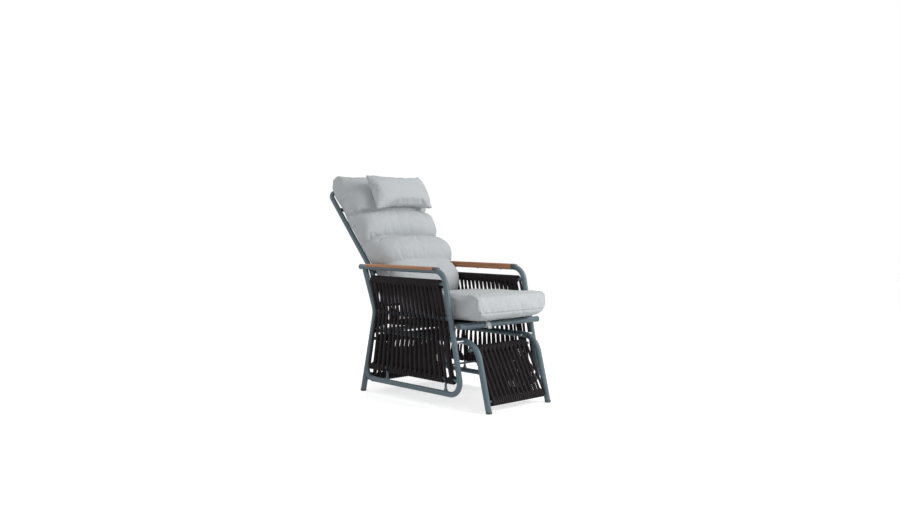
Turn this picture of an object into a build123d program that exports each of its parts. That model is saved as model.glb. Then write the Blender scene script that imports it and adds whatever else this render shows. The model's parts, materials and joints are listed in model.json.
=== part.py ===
"""Outdoor reclining lounge chair with rope side panels, teak arm pads and loose cushions.

Two bent side loops, two rear legs and a front leg frame stand on four feet. A seat frame and a
back frame hang between them on one pair of pivot bolts, so the back leans further when it is
pushed. Rope is wound round rods to close the sides, the rear and the front leg frame.

The sitter looks along -Y, the sitter's right hand is at -X, and +Z is up. Lengths are in
millimetres and angles in degrees. Points of the side view are written as (y, z).
"""
import math
import os

import numpy as np
from build123d import *

os.makedirs("parts", exist_ok=True)

# Side frames: a bent loop (arm, front leg, floor rail) and a rear leg in one upright plane
half_width = 263.0            # middle plane of the chair to the centre line of a side frame
loop_d = 26.0
tube_wall = 1.6
arm_z = 630.0
arm_rear_y = 436.0
arm_corner_y = -190.0
arm_bend_r = 73.0
toe_y = -311.0
rail_z = 70.5
toe_bend_r = 62.0
heel_y = 385.0
heel_bend_r = 50.0
heel_top_z = 132.0

# Rear legs
rear_leg_d = 28.0
rear_foot_y = 418.0
kink_y = 315.0
kink_z = 414.0
kink_r = 100.0
rear_top_y = 404.0
rear_top_drop = 6.0           # the leg ends this far under the arm's centre line

# Feet
glide_h = 9.0
glide_rim = 1.0               # the glide is wider than its tube by this much all round
glide_edge = 2.5
plug_depth = 14.0
tail_plug_depth = 5.0

# Arm pads
pad_rear_y = 376.0
pad_front_y = -127.0
pad_rise = 4.0                # top of the wood over the top of the tube
pad_outer_x = 17.0            # from the tube's centre line outwards
pad_inner_x = 19.0            # from the tube's centre line inwards
pad_outer_low = 3.5           # lower edge of the outer lip over the tube's centre line
pad_inner_low = 9.0           # lower edge of the inner flange under the tube's centre line
pad_round = 7.0
pad_cap_len = 17.0
pad_cap_drop = 3.6            # the cap at the front end slopes down by this much
pad_cap_draw = 1.5            # and draws in at each side
pad_cap_rise = 4.0            # and its flange gets shorter
arm_cap_dome = 9.0
arm_cap_rim = 0.6
screw_count = 3
screw_head_d = 9.0
screw_head_h = 2.6
screw_shank_d = 4.0
screw_grip = 7.0              # depth of the screw holes in the wood
screw_bite = 3.5
screw_hole_gap = 0.15

# Fits
seat_gap = 0.3                # soft or wound piece to what carries it
face_gap = 0.2                # flat faces that turn on each other
pin_gap = 0.06                # radial clearance of a pin in its bore
overrun = 30.0                # how far a cutting solid runs past what it cuts

# Rope and the rods it is wound on
rope_d = 13.0
rope_sides = 6
rod_d = 16.0
rope_gap = 0.6
winding_r = rod_d / 2 + rope_d / 2 + rope_gap
rope_stub = 24.0
strand_bend_r = 60.0
arm_rod_drop = 60.0           # the rod lies this far under the arm
mid_rod_z = 413.0
low_rod_z = 139.0
side_turns = 18
side_top_rear_y = 330.0
side_top_front_y = -160.0
side_mid_rear_y = 288.0
side_mid_front_y = -203.0
side_low_rear_y = 346.0
side_low_front_y = -256.0
strut_d = 11.0
strut_flare_d = 22.0
strut_flare_h = 16.0
strut_turn_shares = (3.5, 15.5)   # places between turns of the side winding, counted from the rear

# Front leg frame
front_leg_inset = 65.0        # from a side frame in to the front leg beside it
front_leg_d = 28.0
front_foot_y = -418.0
front_corner_y = -338.0
front_corner_z = 310.0
front_bend_r = 102.0
front_low_rod_z = 50.0
front_turns = 13
front_rope_inset = 30.0       # from a front leg in to the first turn

# Rear crossbar and rear rope panel, between the rear legs
rear_bar_d = 22.0
rear_top_rod_z = 270.0
rear_low_rod_z = 63.0
rear_turns = 15
rear_rope_inset = 49.0        # from a rear leg in to the first turn

# Floor stretcher between the two lower side rods
stretcher_d = 10.0
stretcher_y = 97.0

# Recline pivot
pivot_y = 329.0
pivot_z = 356.0
pivot_bolt_d = 8.0
pivot_head_d = 15.0
pivot_head_h = 5.5
pivot_head_round = 4.4
pivot_boss_d = 22.0
pivot_outer_boss_d = 16.0     # the post's boss is slimmer under the bolt head
pivot_washer_t = 1.2
nut_h = 7.0
nut_d = 15.0
bush_wall = 2.0

# Seat frame
seat_rail_inset = 56.0        # from a side frame in to the seat rail
seat_rail_d = 24.0
seat_rail_tail = 17.0         # the rail runs on past the pivot
seat_front_y = -289.0
seat_front_z = 383.0
seat_front_d = 28.0
seat_front_inset = 1.0        # the front rail ends this far inside the side frame's centre
seat_cap_t = 3.0
seat_cap_rim = 0.8
seat_bar_y = 238.0
seat_bar_d = 20.0
sling_t = 2.4
sling_side_gap = 3.0
sling_front_gap = 8.0         # from the strap round the front rail to the sling's front edge
sleeve_notch_gap = 2.5        # round the spacers, all round

# Bolts that join frames side by side
bolt_d = 8.0
bolt_head_d = 13.0
bolt_head_h = 5.0
spacer_d = 18.0
bolt_gap = 0.2
bolt_bite = 3.0               # how far a bolt reaches past the wall that it threads into

# Back frame
back_inset = 29.0             # from a side frame in to the back tube
back_tube_d = 25.0
back_tail = 18.0              # the tube runs on past the pivot
bend_y = 377.0
bend_z = 605.0
bend_r = 100.0
top_y = 752.0
top_z = 1015.0
top_corner_r = 50.0
back_bar_d = 20.0
upper_bar_up = 428.0          # from the bend up along the tube
middle_bar_up = 171.0
bend_bar_up = 8.0
lower_bar_down = 168.0        # from the bend down along the tube

# Back cushion, measured from the bend up (or down) along the tube and square out from it
back_pad_inset = 36.0         # from a side frame in to the cushion's side
back_pad_top = 571.0
back_pad_drop = 172.0
seam_up_lengths = (146.0, 281.0)
seam_out_lengths = (105.0, 166.0)
bend_seam_out = 150.0
bend_seam_drop = 14.0         # the seam near the bend lies this far below the corner line
crown_up_lengths = (62.0, 218.0, 428.0)
crown_out_lengths = (152.0, 158.0, 175.5)
top_front_out = 122.0
top_swell = 8.0
low_crown_down = 62.0
low_crown_out = 168.0
low_front_out = 138.0
low_swell = 5.0

# Cushion sides: share of the half width, and share of the thickness left there
side_place_shares = (-1.0, -0.955, -0.82, 0.0, 0.82, 0.955, 1.0)
side_thick_shares = (0.6, 0.9, 0.98, 1.0, 0.98, 0.9, 0.6)
side_long_shares = (0.97, 0.99, 1.0, 1.0, 1.0, 0.99, 0.97)

# Seat cushion
seat_pad_inset = 33.0
seat_pad_rear_y = 191.0
seat_pad_nose_y = -389.0
seat_pad_nose_z = 449.0
seat_pad_edge_y = -358.0
seat_pad_edge_z = 527.0
seat_pad_under_y = -304.0
seat_pad_rear_h = 134.0
seat_pad_crown = 14.0
seat_pad_nose_swell = 7.0

# Head pillow
pillow_w = 384.0
pillow_h = 196.0
pillow_t = 96.0
pillow_lean = 28.3            # degrees back from upright
pillow_down = 224.7           # from the back cushion's top down to the pillow's middle
pillow_off = 227.3            # from the back tube out to the pillow's middle
pillow_place_shares = (-1.0, -0.88, -0.5, 0.0, 0.5, 0.88, 1.0)
pillow_thick_shares = (0.12, 0.48, 0.9, 1.0, 0.9, 0.48, 0.12)
pillow_high_shares = (1.0, 0.93, 0.91, 0.91, 0.91, 0.93, 1.0)
pillow_edge_share = 0.08

# Strap that ties the seat cushion to the front rail
strap_x = -90.0
strap_w = 24.0
strap_t = 2.0
strap_tail = 16.0

side_shares = (-1, 1)         # right and left, as shares of a place across the chair
SIDES = tuple(zip(("right", "left"), side_shares))
made = {}

# Places across the chair, and the arm rod's height
arm_rod_z = arm_z - arm_rod_drop
front_leg_x = half_width - front_leg_inset
front_rope_half = front_leg_x - front_rope_inset
rear_rope_half = half_width - rear_rope_inset
seat_rail_x = half_width - seat_rail_inset
seat_front_half = half_width - seat_front_inset
back_x = half_width - back_inset
back_pad_half = half_width - back_pad_inset
seat_pad_half = half_width - seat_pad_inset


def unit(dy, dz):
    """Unit vector in the side view."""
    length = math.hypot(dy, dz)
    return (dy / length, dz / length)


def along(point, direction, distance):
    """The side-view point at a distance from another, along a unit vector."""
    return (point[0] + direction[0] * distance, point[1] + direction[1] * distance)


def y_at(point_a, point_b, z):
    """Y of the side-view line through two points, at height z."""
    return point_a[0] + (point_b[0] - point_a[0]) * (z - point_a[1]) / (point_b[1] - point_a[1])


def at_x(x, points):
    """Side-view points put in the upright plane at x."""
    return [(x, y, z) for y, z in points]


def bent_tube(points, radii, outer_d, wall=0.0):
    """A round tube along straight runs and tangent bends; no wall means a full bar."""
    if radii:
        path = FilletPolyline(*points, radius=radii)
    else:
        path = Polyline(*points)
    ring = Circle(outer_d / 2)
    if wall:
        ring -= Circle(outer_d / 2 - wall)
    return sweep(Plane(origin=path @ 0, z_dir=path % 0) * ring, path=path)


def bar(start, end, diameter, wall=0.0):
    """A straight round bar or tube between two points."""
    return bent_tube([start, end], [], diameter, wall)


def cross_bar(y, z, half_length, diameter, wall=0.0):
    """A round bar or tube from side to side."""
    return bar((-half_length, y, z), (half_length, y, z), diameter, wall)


def both_sides(maker):
    """The same piece on the right and on the left, as one group of separate solids."""
    return [maker(sign) for _, sign in SIDES]


def keep(name, *shapes):
    """File the solids of one node under its name."""
    solids = []
    for shape in shapes:
        for item in (shape if isinstance(shape, (list, tuple)) else [shape]):
            solids.extend(item.solids())
    made[name] = solids


# Side view of the frames
front_leg_top = (arm_corner_y, arm_z)
front_leg_low = (toe_y, rail_z)
rear_foot = (rear_foot_y, 0)
kink = (kink_y, kink_z)
rear_top = (rear_top_y, arm_z)
front_corner = (front_corner_y, front_corner_z)
front_foot = (front_foot_y, 0)
pivot = (pivot_y, pivot_z)
bend = (bend_y, bend_z)
back_top = (top_y, top_z)
low_dir = unit(bend_y - pivot_y, bend_z - pivot_z)
up_dir = unit(top_y - bend_y, top_z - bend_z)
low_out = (-low_dir[1], low_dir[0])
up_out = (-up_dir[1], up_dir[0])


def loop_tube(sign, wall):
    """Arm, front leg and floor rail, bent from one tube."""
    points = [(arm_rear_y, arm_z), front_leg_top, front_leg_low, (heel_y, rail_z), (heel_y, heel_top_z)]
    radii = [arm_bend_r, toe_bend_r, heel_bend_r]
    return bent_tube(at_x(sign * half_width, points), radii, loop_d, wall)


def rear_leg_tube(sign, wall):
    """Rear leg from the foot to the arm, with its bend at the rope panel's middle rod."""
    foot_dir = unit(rear_foot_y - kink_y, -kink_z)
    top_dir = unit(rear_top_y - kink_y, arm_z - kink_z)
    top_run = (arm_z - rear_top_drop - kink_z) / top_dir[1]
    points = [along(rear_foot, foot_dir, overrun), kink, along(kink, top_dir, top_run)]
    return bent_tube(at_x(sign * half_width, points), [kink_r], rear_leg_d, wall)


def front_leg_tube(sign, wall):
    """One side of the front leg frame: a leaning leg that bends into a bar under the seat."""
    foot_dir = unit(front_foot_y - front_corner_y, -front_corner_z)
    rear_end = y_at(rear_foot, kink, front_corner_z)
    points = [along(front_foot, foot_dir, overrun), front_corner, (rear_end, front_corner_z)]
    return bent_tube(at_x(sign * front_leg_x, points), [front_bend_r], front_leg_d, wall)


def below_floor(height):
    """Everything under a height, to cut a leg level."""
    size = 4 * rear_foot_y
    return Pos(0, 0, height - size / 2) * Box(size, size, size)


def y_cylinder(x, z, radius):
    """A cutting cylinder along Y, longer than the chair."""
    reach = 4 * rear_foot_y
    return Pos(x, 0, z) * Rot(90, 0, 0) * Cylinder(radius, 2 * reach)


def x_cylinder(x_from, x_to, y, z, radius):
    """A cylinder along X between two places."""
    return bar((x_from, y, z), (x_to, y, z), 2 * radius)


# Full forms of the tubes, used to fit the ends of the pieces that are welded to them
loop_full = {sign: loop_tube(sign, 0.0) for _, sign in SIDES}
rear_full = {sign: rear_leg_tube(sign, 0.0) for _, sign in SIDES}
front_full = {sign: front_leg_tube(sign, 0.0) for _, sign in SIDES}
rear_bar_y = y_at(rear_foot, kink, front_corner_z)
rear_bar_full = cross_bar(rear_bar_y, front_corner_z, half_width, rear_bar_d)

front_bolt_y = y_at(front_leg_top, front_leg_low, front_corner_z)
seat_slope = (seat_front_z - pivot_z) / (seat_front_y - pivot_y)
seat_dir = unit(seat_front_y - pivot_y, seat_front_z - pivot_z)
seat_tail = along(pivot, seat_dir, -seat_rail_tail)
seat_bolt_y = y_at(front_leg_top, front_leg_low, seat_front_z)
seat_bolt_z = pivot_z + seat_slope * (seat_bolt_y - pivot_y)
bolt_hole_r = bolt_d / 2 + bolt_gap
pivot_hole_r = pivot_bolt_d / 2 + pin_gap


# Pivot stack, measured from the middle of the chair outwards
post_face = half_width - rear_leg_d / 2 - pivot_washer_t / 2
outer_washer_x = post_face - face_gap - pivot_washer_t
back_outer_face = outer_washer_x - face_gap
back_inner_face = 2 * back_x - back_outer_face
inner_washer_x = back_inner_face - face_gap - pivot_washer_t
rail_outer_face = inner_washer_x - face_gap
rail_inner_face = seat_rail_x - seat_rail_d / 2 - face_gap
head_face = half_width + rear_leg_d / 2


def pad_screw_ys():
    """Places of the screws that hold an arm pad, evenly spread along it."""
    step = (pad_rear_y - pad_front_y) / screw_count
    return [pad_front_y + step / 2 + step * index for index in range(screw_count)]


def leg_bolt_hole(sign, y, z):
    """The hole of a frame bolt through the inner wall of a front leg."""
    inner = sign * (half_width - loop_d / 2 - overrun)
    return x_cylinder(inner, sign * half_width, y, z, bolt_hole_r)


for side, sign in SIDES:
    heel_cut = rear_full[sign] & below_floor(front_corner_z)
    loop = loop_tube(sign, tube_wall) - heel_cut
    loop -= leg_bolt_hole(sign, front_bolt_y, front_corner_z)
    loop -= leg_bolt_hole(sign, seat_bolt_y, seat_bolt_z)
    for screw_y in pad_screw_ys():
        loop -= Pos(sign * half_width, screw_y, arm_z) * Cylinder(screw_shank_d / 2 + screw_hole_gap, 2 * loop_d)
    keep("side_loop_" + side, loop)

    leg = rear_leg_tube(sign, tube_wall) - y_cylinder(sign * half_width, arm_z, loop_d / 2)
    leg -= below_floor(glide_h)
    leg += x_cylinder(sign * post_face, sign * half_width, pivot_y, pivot_z, pivot_boss_d / 2)
    leg += x_cylinder(sign * half_width, sign * head_face, pivot_y, pivot_z, pivot_outer_boss_d / 2)
    leg -= x_cylinder(0, sign * 2 * half_width, pivot_y, pivot_z, pivot_hole_r)
    keep("rear_leg_" + side, leg)


def arm_cap(sign):
    """Domed plug in the rear end of an arm tube."""
    stem = bar((sign * half_width, arm_rear_y - plug_depth, arm_z), (sign * half_width, arm_rear_y, arm_z),
               loop_d - 2 * tube_wall)
    dome_r = loop_d / 2 + arm_cap_rim
    ball_r = (dome_r * dome_r + arm_cap_dome * arm_cap_dome) / (2 * arm_cap_dome)
    dome = Pos(0, 0, arm_cap_dome / 2) * Cylinder(dome_r, arm_cap_dome)
    dome &= Pos(0, 0, arm_cap_dome - ball_r + arm_cap_rim) * Sphere(ball_r)
    return stem + Pos(sign * half_width, arm_rear_y, arm_z) * Rot(-90, 0, 0) * dome


keep("arm_end_caps", both_sides(arm_cap))

groove_r = loop_d / 2 + seat_gap


def pad_outline(sign, drop=0.0, draw=0.0, rise=0.0):
    """Section of an arm pad: wood over the tube, with a short outer lip and a deep inner flange.

    For the cap at its front end the top drops, the sides draw in and the flange rises.
    """
    top = loop_d / 2 + pad_rise - drop
    inner_low = rise - pad_inner_low
    x_out = sign * (half_width + pad_outer_x - draw)
    x_in = sign * (half_width - pad_inner_x + draw)
    middle = sign * half_width
    outline = Polyline((x_in, inner_low), (x_in, top), (x_out, top), (x_out, pad_outer_low),
                       (middle, pad_outer_low), (middle, inner_low), close=True)
    face = make_face(outline)
    top_corners = [v for v in face.vertices() if abs(v.Y - top) < seat_gap]
    return fillet(top_corners, pad_round - draw)


def arm_pad(sign):
    """Teak pad along the arm, grooved for the tube."""
    section = Plane.XZ.offset(-pad_rear_y) * pad_outline(sign)
    pad = Pos(0, 0, arm_z) * extrude(section, pad_rear_y - pad_front_y)
    pad -= y_cylinder(sign * half_width, arm_z, groove_r)
    for screw_y in pad_screw_ys():
        pad -= Pos(sign * half_width, screw_y, arm_z) * Cylinder(
            screw_shank_d / 2 + screw_hole_gap, loop_d + 2 * (screw_grip + screw_hole_gap))
    return pad


def arm_pad_cap(sign):
    """Moulded cap that closes the front end of a pad and slopes down to the tube's bend."""
    near = Plane.XZ.offset(-pad_front_y) * pad_outline(sign)
    far = Plane.XZ.offset(-(pad_front_y - pad_cap_len)) * pad_outline(
        sign, pad_cap_drop, pad_cap_draw, pad_cap_rise)
    cap = Pos(0, 0, arm_z) * loft([near, far], ruled=True)
    return cap - bent_tube(at_x(sign * half_width, [(arm_rear_y, arm_z), front_leg_top, front_leg_low]),
                           [arm_bend_r], 2 * groove_r)


for side, sign in SIDES:
    keep("arm_pad_" + side, arm_pad(sign))
keep("arm_pad_caps", both_sides(arm_pad_cap))


def pad_screw(sign, y):
    """Pan-head screw up through the arm tube into the wood."""
    low = arm_z - loop_d / 2
    shank = bar((sign * half_width, y, low), (sign * half_width, y, arm_z + loop_d / 2 + screw_bite),
                screw_shank_d)
    head = bar((sign * half_width, y, low - screw_head_h), (sign * half_width, y, low + tube_wall / 2),
               screw_head_d)
    head = chamfer(head.edges().group_by(Axis.Z)[0], screw_head_h / 2)
    return shank + (head - loop_full[sign])


keep("arm_pad_screws", [pad_screw(sign, y) for _, sign in SIDES for y in pad_screw_ys()])


def side_rod(sign, z, diameter):
    """A rod of the side rope panel, from the front leg to the rear leg."""
    front = y_at(front_leg_top, front_leg_low, z)
    rear = y_at(kink, rear_top, z) if z > kink_z else y_at(rear_foot, kink, z)
    rod = bar((sign * half_width, front, z), (sign * half_width, rear, z), diameter)
    return rod - loop_full[sign] - rear_full[sign]


keep("arm_rope_rods", both_sides(lambda sign: side_rod(sign, arm_rod_z, rod_d)))
keep("middle_rope_rods", both_sides(lambda sign: side_rod(sign, mid_rod_z, rod_d)))
keep("lower_rope_rods", both_sides(lambda sign: side_rod(sign, low_rod_z, rod_d)))


def spread(first, last, count):
    """Evenly spread places from the first to the last."""
    return [first + (last - first) * index / (count - 1) for index in range(count)]


def strut(sign, share):
    """Short strut with a flared foot, from the lower rope rod down to the floor rail."""
    step = (side_low_front_y - side_low_rear_y) / (side_turns - 1)
    place = side_low_rear_y + step * share
    post = Pos(sign * half_width, place, (rail_z + low_rod_z) / 2) * Cylinder(
        strut_d / 2, low_rod_z - rail_z)
    foot_z = rail_z + loop_d / 2 + strut_flare_h / 2 - tube_wall
    flare = Pos(sign * half_width, place, foot_z) * Cone(strut_flare_d / 2, strut_d / 2, strut_flare_h)
    rod_cut = y_cylinder(sign * half_width, low_rod_z, rod_d / 2)
    return (post + flare) - rod_cut - loop_full[sign]


keep("rail_struts", [strut(sign, share) for _, sign in SIDES for share in strut_turn_shares])


def biarc(start, start_dir, end, end_dir):
    """Two arcs that join a point and a direction to another point and direction."""
    chord = end - start
    total = start_dir + end_dir
    spread_term = 2 * (1 - start_dir.dot(end_dir))
    mix = chord.dot(total)
    reach = (-mix + math.sqrt(mix * mix + spread_term * chord.dot(chord))) / spread_term
    joint = (start + end + (start_dir - end_dir) * reach) / 2
    joint_dir = (end - end_dir * reach) - (start + start_dir * reach)
    return [TangentArc(start, joint, tangent=start_dir), TangentArc(joint, end, tangent=joint_dir)]


def strand(points):
    """A straight strand, or one with a soft bend where it passes a middle rod, and its end directions."""
    corners = [Vector(*p) for p in points]
    if len(corners) == 2:
        direction = (corners[1] - corners[0]).normalized()
        return [Line(corners[0], corners[1])], direction, direction
    first = (corners[1] - corners[0]).normalized()
    last = (corners[2] - corners[1]).normalized()
    reach = strand_bend_r * math.tan(math.radians(first.get_angle(last)) / 2)
    enter = corners[1] - first * reach
    leave = corners[1] + last * reach
    edges = [Line(corners[0], enter), TangentArc(enter, leave, tangent=first), Line(leave, corners[2])]
    return edges, first, last


def winding(runs):
    """One unbroken rope along a list of strands, joined by half turns over the rods."""
    edges = []
    previous = None
    for run in runs:
        pieces, first, last = strand(run)
        if previous is not None:
            edges.extend(biarc(previous[0], previous[1], Vector(*run[0]), first))
        edges.extend(pieces)
        previous = (Vector(*run[-1]), last)
    path = Wire(edges)
    section = Plane(origin=edges[0] @ 0, z_dir=edges[0] % 0) * RegularPolygon(rope_d / 2, rope_sides)
    return sweep(section, path=path, clean=False), edges


def least_gap(edges):
    """Smallest distance between stretches of one rope, less its diameter, measured on points."""
    points = []
    reached = []
    travelled = 0.0
    for edge in edges:
        count = max(2, math.ceil(edge.length / (rope_d / 2)))
        for index in range(count):
            place = edge @ (index / count)
            points.append((place.X, place.Y, place.Z))
            reached.append(travelled + edge.length * index / count)
        travelled += edge.length
    cloud = np.array(points)
    length = np.array(reached)
    apart = np.linalg.norm(cloud[:, None, :] - cloud[None, :, :], axis=2)
    far = np.abs(length[:, None] - length[None, :]) > math.pi * winding_r
    return float(apart[far].min()) - rope_d


def lerp(a, b, share):
    """The value a share of the way from one to another."""
    return a + (b - a) * share


def side_runs(sign):
    """Strands of a side panel: straight on the outside, stepping on by one turn on the inside."""
    outer = sign * (half_width + winding_r)
    inner = sign * (half_width - winding_r)
    tops = spread(side_top_rear_y, side_top_front_y, side_turns)
    mids = spread(side_mid_rear_y, side_mid_front_y, side_turns)
    lows = spread(side_low_rear_y, side_low_front_y, side_turns)
    stub_z = low_rod_z + rope_stub
    stub_y = lows[0] + (mids[0] - lows[0]) * rope_stub / (mid_rod_z - low_rod_z)
    runs = [[(inner, stub_y, stub_z), (inner, lows[0], low_rod_z)]]
    for turn in range(side_turns):
        runs.append([(outer, lows[turn], low_rod_z), (outer, mids[turn], mid_rod_z),
                     (outer, tops[turn], arm_rod_z)])
        if turn < side_turns - 1:
            share = (arm_rod_z - mid_rod_z) / (arm_rod_z - low_rod_z)
            crossing = lerp(mids[turn], mids[turn + 1], share)
            runs.append([(inner, tops[turn], arm_rod_z), (inner, crossing, mid_rod_z),
                         (inner, lows[turn + 1], low_rod_z)])
    end_y = tops[-1] + (mids[-1] - tops[-1]) * rope_stub / (arm_rod_z - mid_rod_z)
    runs.append([(inner, tops[-1], arm_rod_z), (inner, end_y, arm_rod_z - rope_stub)])
    return runs


def flat_runs(low, top, half_length, turns):
    """Strands of a panel wound between two cross rods, given as side-view points."""
    direction = unit(top[0] - low[0], top[1] - low[1])
    front = (-direction[1], direction[0])
    low_front = along(low, front, winding_r)
    low_back = along(low, front, -winding_r)
    top_front = along(top, front, winding_r)
    top_back = along(top, front, -winding_r)
    places = spread(-half_length, half_length, turns)
    runs = [[(places[0], *along(low_back, direction, rope_stub)), (places[0], *low_back)]]
    for turn, x in enumerate(places):
        runs.append([(x, *low_front), (x, *top_front)])
        if turn < turns - 1:
            runs.append([(x, *top_back), (places[turn + 1], *low_back)])
    runs.append([(places[-1], *top_back), (places[-1], *along(top_back, direction, -rope_stub))])
    return runs


# The front panel's upper rod lies at the middle of the front leg's bend
front_dir = unit(front_corner_y - front_foot_y, front_corner_z)
turn_half = math.acos(-front_dir[0]) / 2
bend_centre = (front_corner_y + front_bend_r * math.tan(turn_half), front_corner_z - front_bend_r)
bend_out = unit(front_corner_y - bend_centre[0], front_corner_z - bend_centre[1])
front_top_rod = along(bend_centre, bend_out, front_bend_r)
front_low_rod = (y_at(front_foot, front_corner, front_low_rod_z), front_low_rod_z)
rear_top_rod = (y_at(rear_foot, kink, rear_top_rod_z), rear_top_rod_z)
rear_low_rod = (y_at(rear_foot, kink, rear_low_rod_z), rear_low_rod_z)

panels = {"side_rope_" + side: side_runs(sign) for side, sign in SIDES}
panels["front_rope"] = flat_runs(front_low_rod, front_top_rod, front_rope_half, front_turns)
panels["rear_rope"] = flat_runs(rear_low_rod, rear_top_rod, rear_rope_half, rear_turns)
for name, runs in panels.items():
    rope, rope_edges = winding(runs)
    print(name, "turns", len(runs) // 2, "least gap to itself", round(least_gap(rope_edges), 2), "mm,",
          "length", round(sum(edge.length for edge in rope_edges)), "mm")
    keep(name, rope)

print("rope panels made")


def glide(x, foot, toward):
    """Moulded foot: a plug up the tube and a chamfered pad that stands on the floor."""
    leg_dir = unit(toward[0] - foot[0], toward[1] - foot[1])
    tube_d = rear_leg_d if foot == rear_foot else front_leg_d
    pad_y = foot[0] + leg_dir[0] * glide_h / 2
    pad = Pos(x, pad_y, glide_h / 2) * Cylinder(tube_d / 2 + glide_rim, glide_h)
    pad = chamfer(pad.edges().group_by(Axis.Z)[0], glide_edge)
    plug = bent_tube(at_x(x, [along(foot, leg_dir, -overrun), along(foot, leg_dir, glide_h + plug_depth)]),
                     [], tube_d - 2 * tube_wall)
    return pad + (plug - below_floor(glide_h / 2))


keep("rear_glides", both_sides(lambda sign: glide(sign * half_width, rear_foot, kink)))
keep("front_glides", both_sides(lambda sign: glide(sign * front_leg_x, front_foot, front_corner)))


def between(cross_piece, side_pieces):
    """A cross piece cut to fit between the pieces at its two ends."""
    for _, sign in SIDES:
        cross_piece -= side_pieces[sign]
    return cross_piece


# Front leg frame, welded to the rear crossbar and bolted to the side loops
rear_bar = cross_bar(rear_bar_y, front_corner_z, half_width, rear_bar_d, tube_wall)
keep("rear_crossbar", between(rear_bar, rear_full))
for side, sign in SIDES:
    front_leg = front_leg_tube(sign, tube_wall) - rear_bar_full - below_floor(glide_h)
    front_leg -= x_cylinder(0, sign * half_width, front_bolt_y, front_corner_z, bolt_hole_r)
    keep("front_leg_" + side, front_leg)


keep("front_rope_rods", [between(cross_bar(*point, front_leg_x, rod_d), front_full)
                         for point in (front_top_rod, front_low_rod)])
keep("rear_rope_rods", [between(cross_bar(*point, half_width, rod_d), rear_full)
                        for point in (rear_top_rod, rear_low_rod)])

# The thin stretcher passes between two turns of each side rope to its rod
turn_step = (side_low_front_y - side_low_rear_y) / (side_turns - 1)
stretcher_turn = math.floor((stretcher_y - side_low_rear_y) / turn_step)
stretcher_place = side_low_rear_y + turn_step * stretcher_turn + turn_step / 2
stretcher = cross_bar(stretcher_place, low_rod_z, half_width, stretcher_d)
for _, sign in SIDES:
    stretcher -= y_cylinder(sign * half_width, low_rod_z, rod_d / 2)
keep("floor_stretcher", stretcher)


def frame_bolt(sign, y, z, inner_face):
    """Bolt from the inside, through a tube and a spacer into the front leg, with its chamfered head."""
    end = half_width - loop_d / 2 + tube_wall + bolt_bite
    shank = x_cylinder(sign * inner_face, sign * end, y, z, bolt_d / 2)
    head = x_cylinder(sign * (inner_face - bolt_head_h), sign * inner_face, y, z, bolt_head_d / 2)
    outer_edge = head.edges().sort_by(Axis.X)[0 if sign > 0 else -1]
    return shank + chamfer(outer_edge, bolt_head_h / 2)


def spacer(sign, y, z, from_x, tube_full):
    """Spacer sleeve on a frame bolt, fitted to the round tubes at both ends."""
    sleeve = x_cylinder(sign * from_x, sign * half_width, y, z, spacer_d / 2)
    sleeve -= loop_full[sign]
    sleeve -= x_cylinder(0, sign * 2 * half_width, y, z, bolt_hole_r)
    return sleeve - tube_full


def seat_rail_tube(sign, wall):
    """A seat side rail, from its tail behind the pivot to the front rail."""
    return bar(*at_x(sign * seat_rail_x, [seat_tail, (seat_front_y, seat_front_z)]), seat_rail_d, wall)


seat_rail_full = {sign: seat_rail_tube(sign, 0.0) for _, sign in SIDES}
front_head_face = front_leg_x - front_leg_d / 2
seat_head_face = seat_rail_x - seat_rail_d / 2
keep("front_leg_bolts", both_sides(lambda sign: frame_bolt(
    sign, front_bolt_y, front_corner_z, front_head_face)))
keep("front_leg_spacers", both_sides(lambda sign: spacer(
    sign, front_bolt_y, front_corner_z, front_leg_x, front_full[sign])))
keep("seat_bolts", both_sides(lambda sign: frame_bolt(
    sign, seat_bolt_y, seat_bolt_z, seat_head_face)))
keep("seat_spacers", both_sides(lambda sign: spacer(
    sign, seat_bolt_y, seat_bolt_z, seat_rail_x, seat_rail_full[sign])))

# Seat frame
front_rail_full = cross_bar(seat_front_y, seat_front_z, seat_front_half, seat_front_d)
for side, sign in SIDES:
    rail = seat_rail_tube(sign, tube_wall)
    boss = x_cylinder(sign * rail_inner_face, sign * rail_outer_face, pivot_y, pivot_z, pivot_boss_d / 2)
    rail = rail + boss - front_rail_full
    rail -= x_cylinder(0, sign * half_width, pivot_y, pivot_z, pivot_hole_r)
    rail -= x_cylinder(0, sign * half_width, seat_bolt_y, seat_bolt_z, bolt_hole_r)
    keep("seat_rail_" + side, rail)
keep("seat_front_rail", cross_bar(seat_front_y, seat_front_z, seat_front_half, seat_front_d, tube_wall))


def end_plug(sign, outer_x, y, z, tube_d, cap_t, rim):
    """Flat round cap on the end of a cross tube, with its plug inside."""
    plug = x_cylinder(sign * (outer_x - plug_depth), sign * outer_x, y, z, tube_d / 2 - tube_wall)
    cap = x_cylinder(sign * outer_x, sign * (outer_x + cap_t), y, z, tube_d / 2 + rim)
    outer_edge = cap.edges().sort_by(Axis.X)[-1 if sign > 0 else 0]
    return plug + chamfer(outer_edge, cap_t / 2)


keep("seat_rail_caps", both_sides(lambda sign: end_plug(
    sign, seat_front_half, seat_front_y, seat_front_z, seat_front_d, seat_cap_t, seat_cap_rim)))


def tail_plug(x, start, direction, tube_d):
    """Thin plug that closes the lower end of a tube behind the pivot."""
    inner = along(start, direction, tail_plug_depth)
    outer = along(start, direction, -seat_cap_t)
    plug = bar(*at_x(x, [inner, start]), tube_d - 2 * tube_wall)
    cap = bar(*at_x(x, [start, outer]), tube_d)
    return plug + cap


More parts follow.
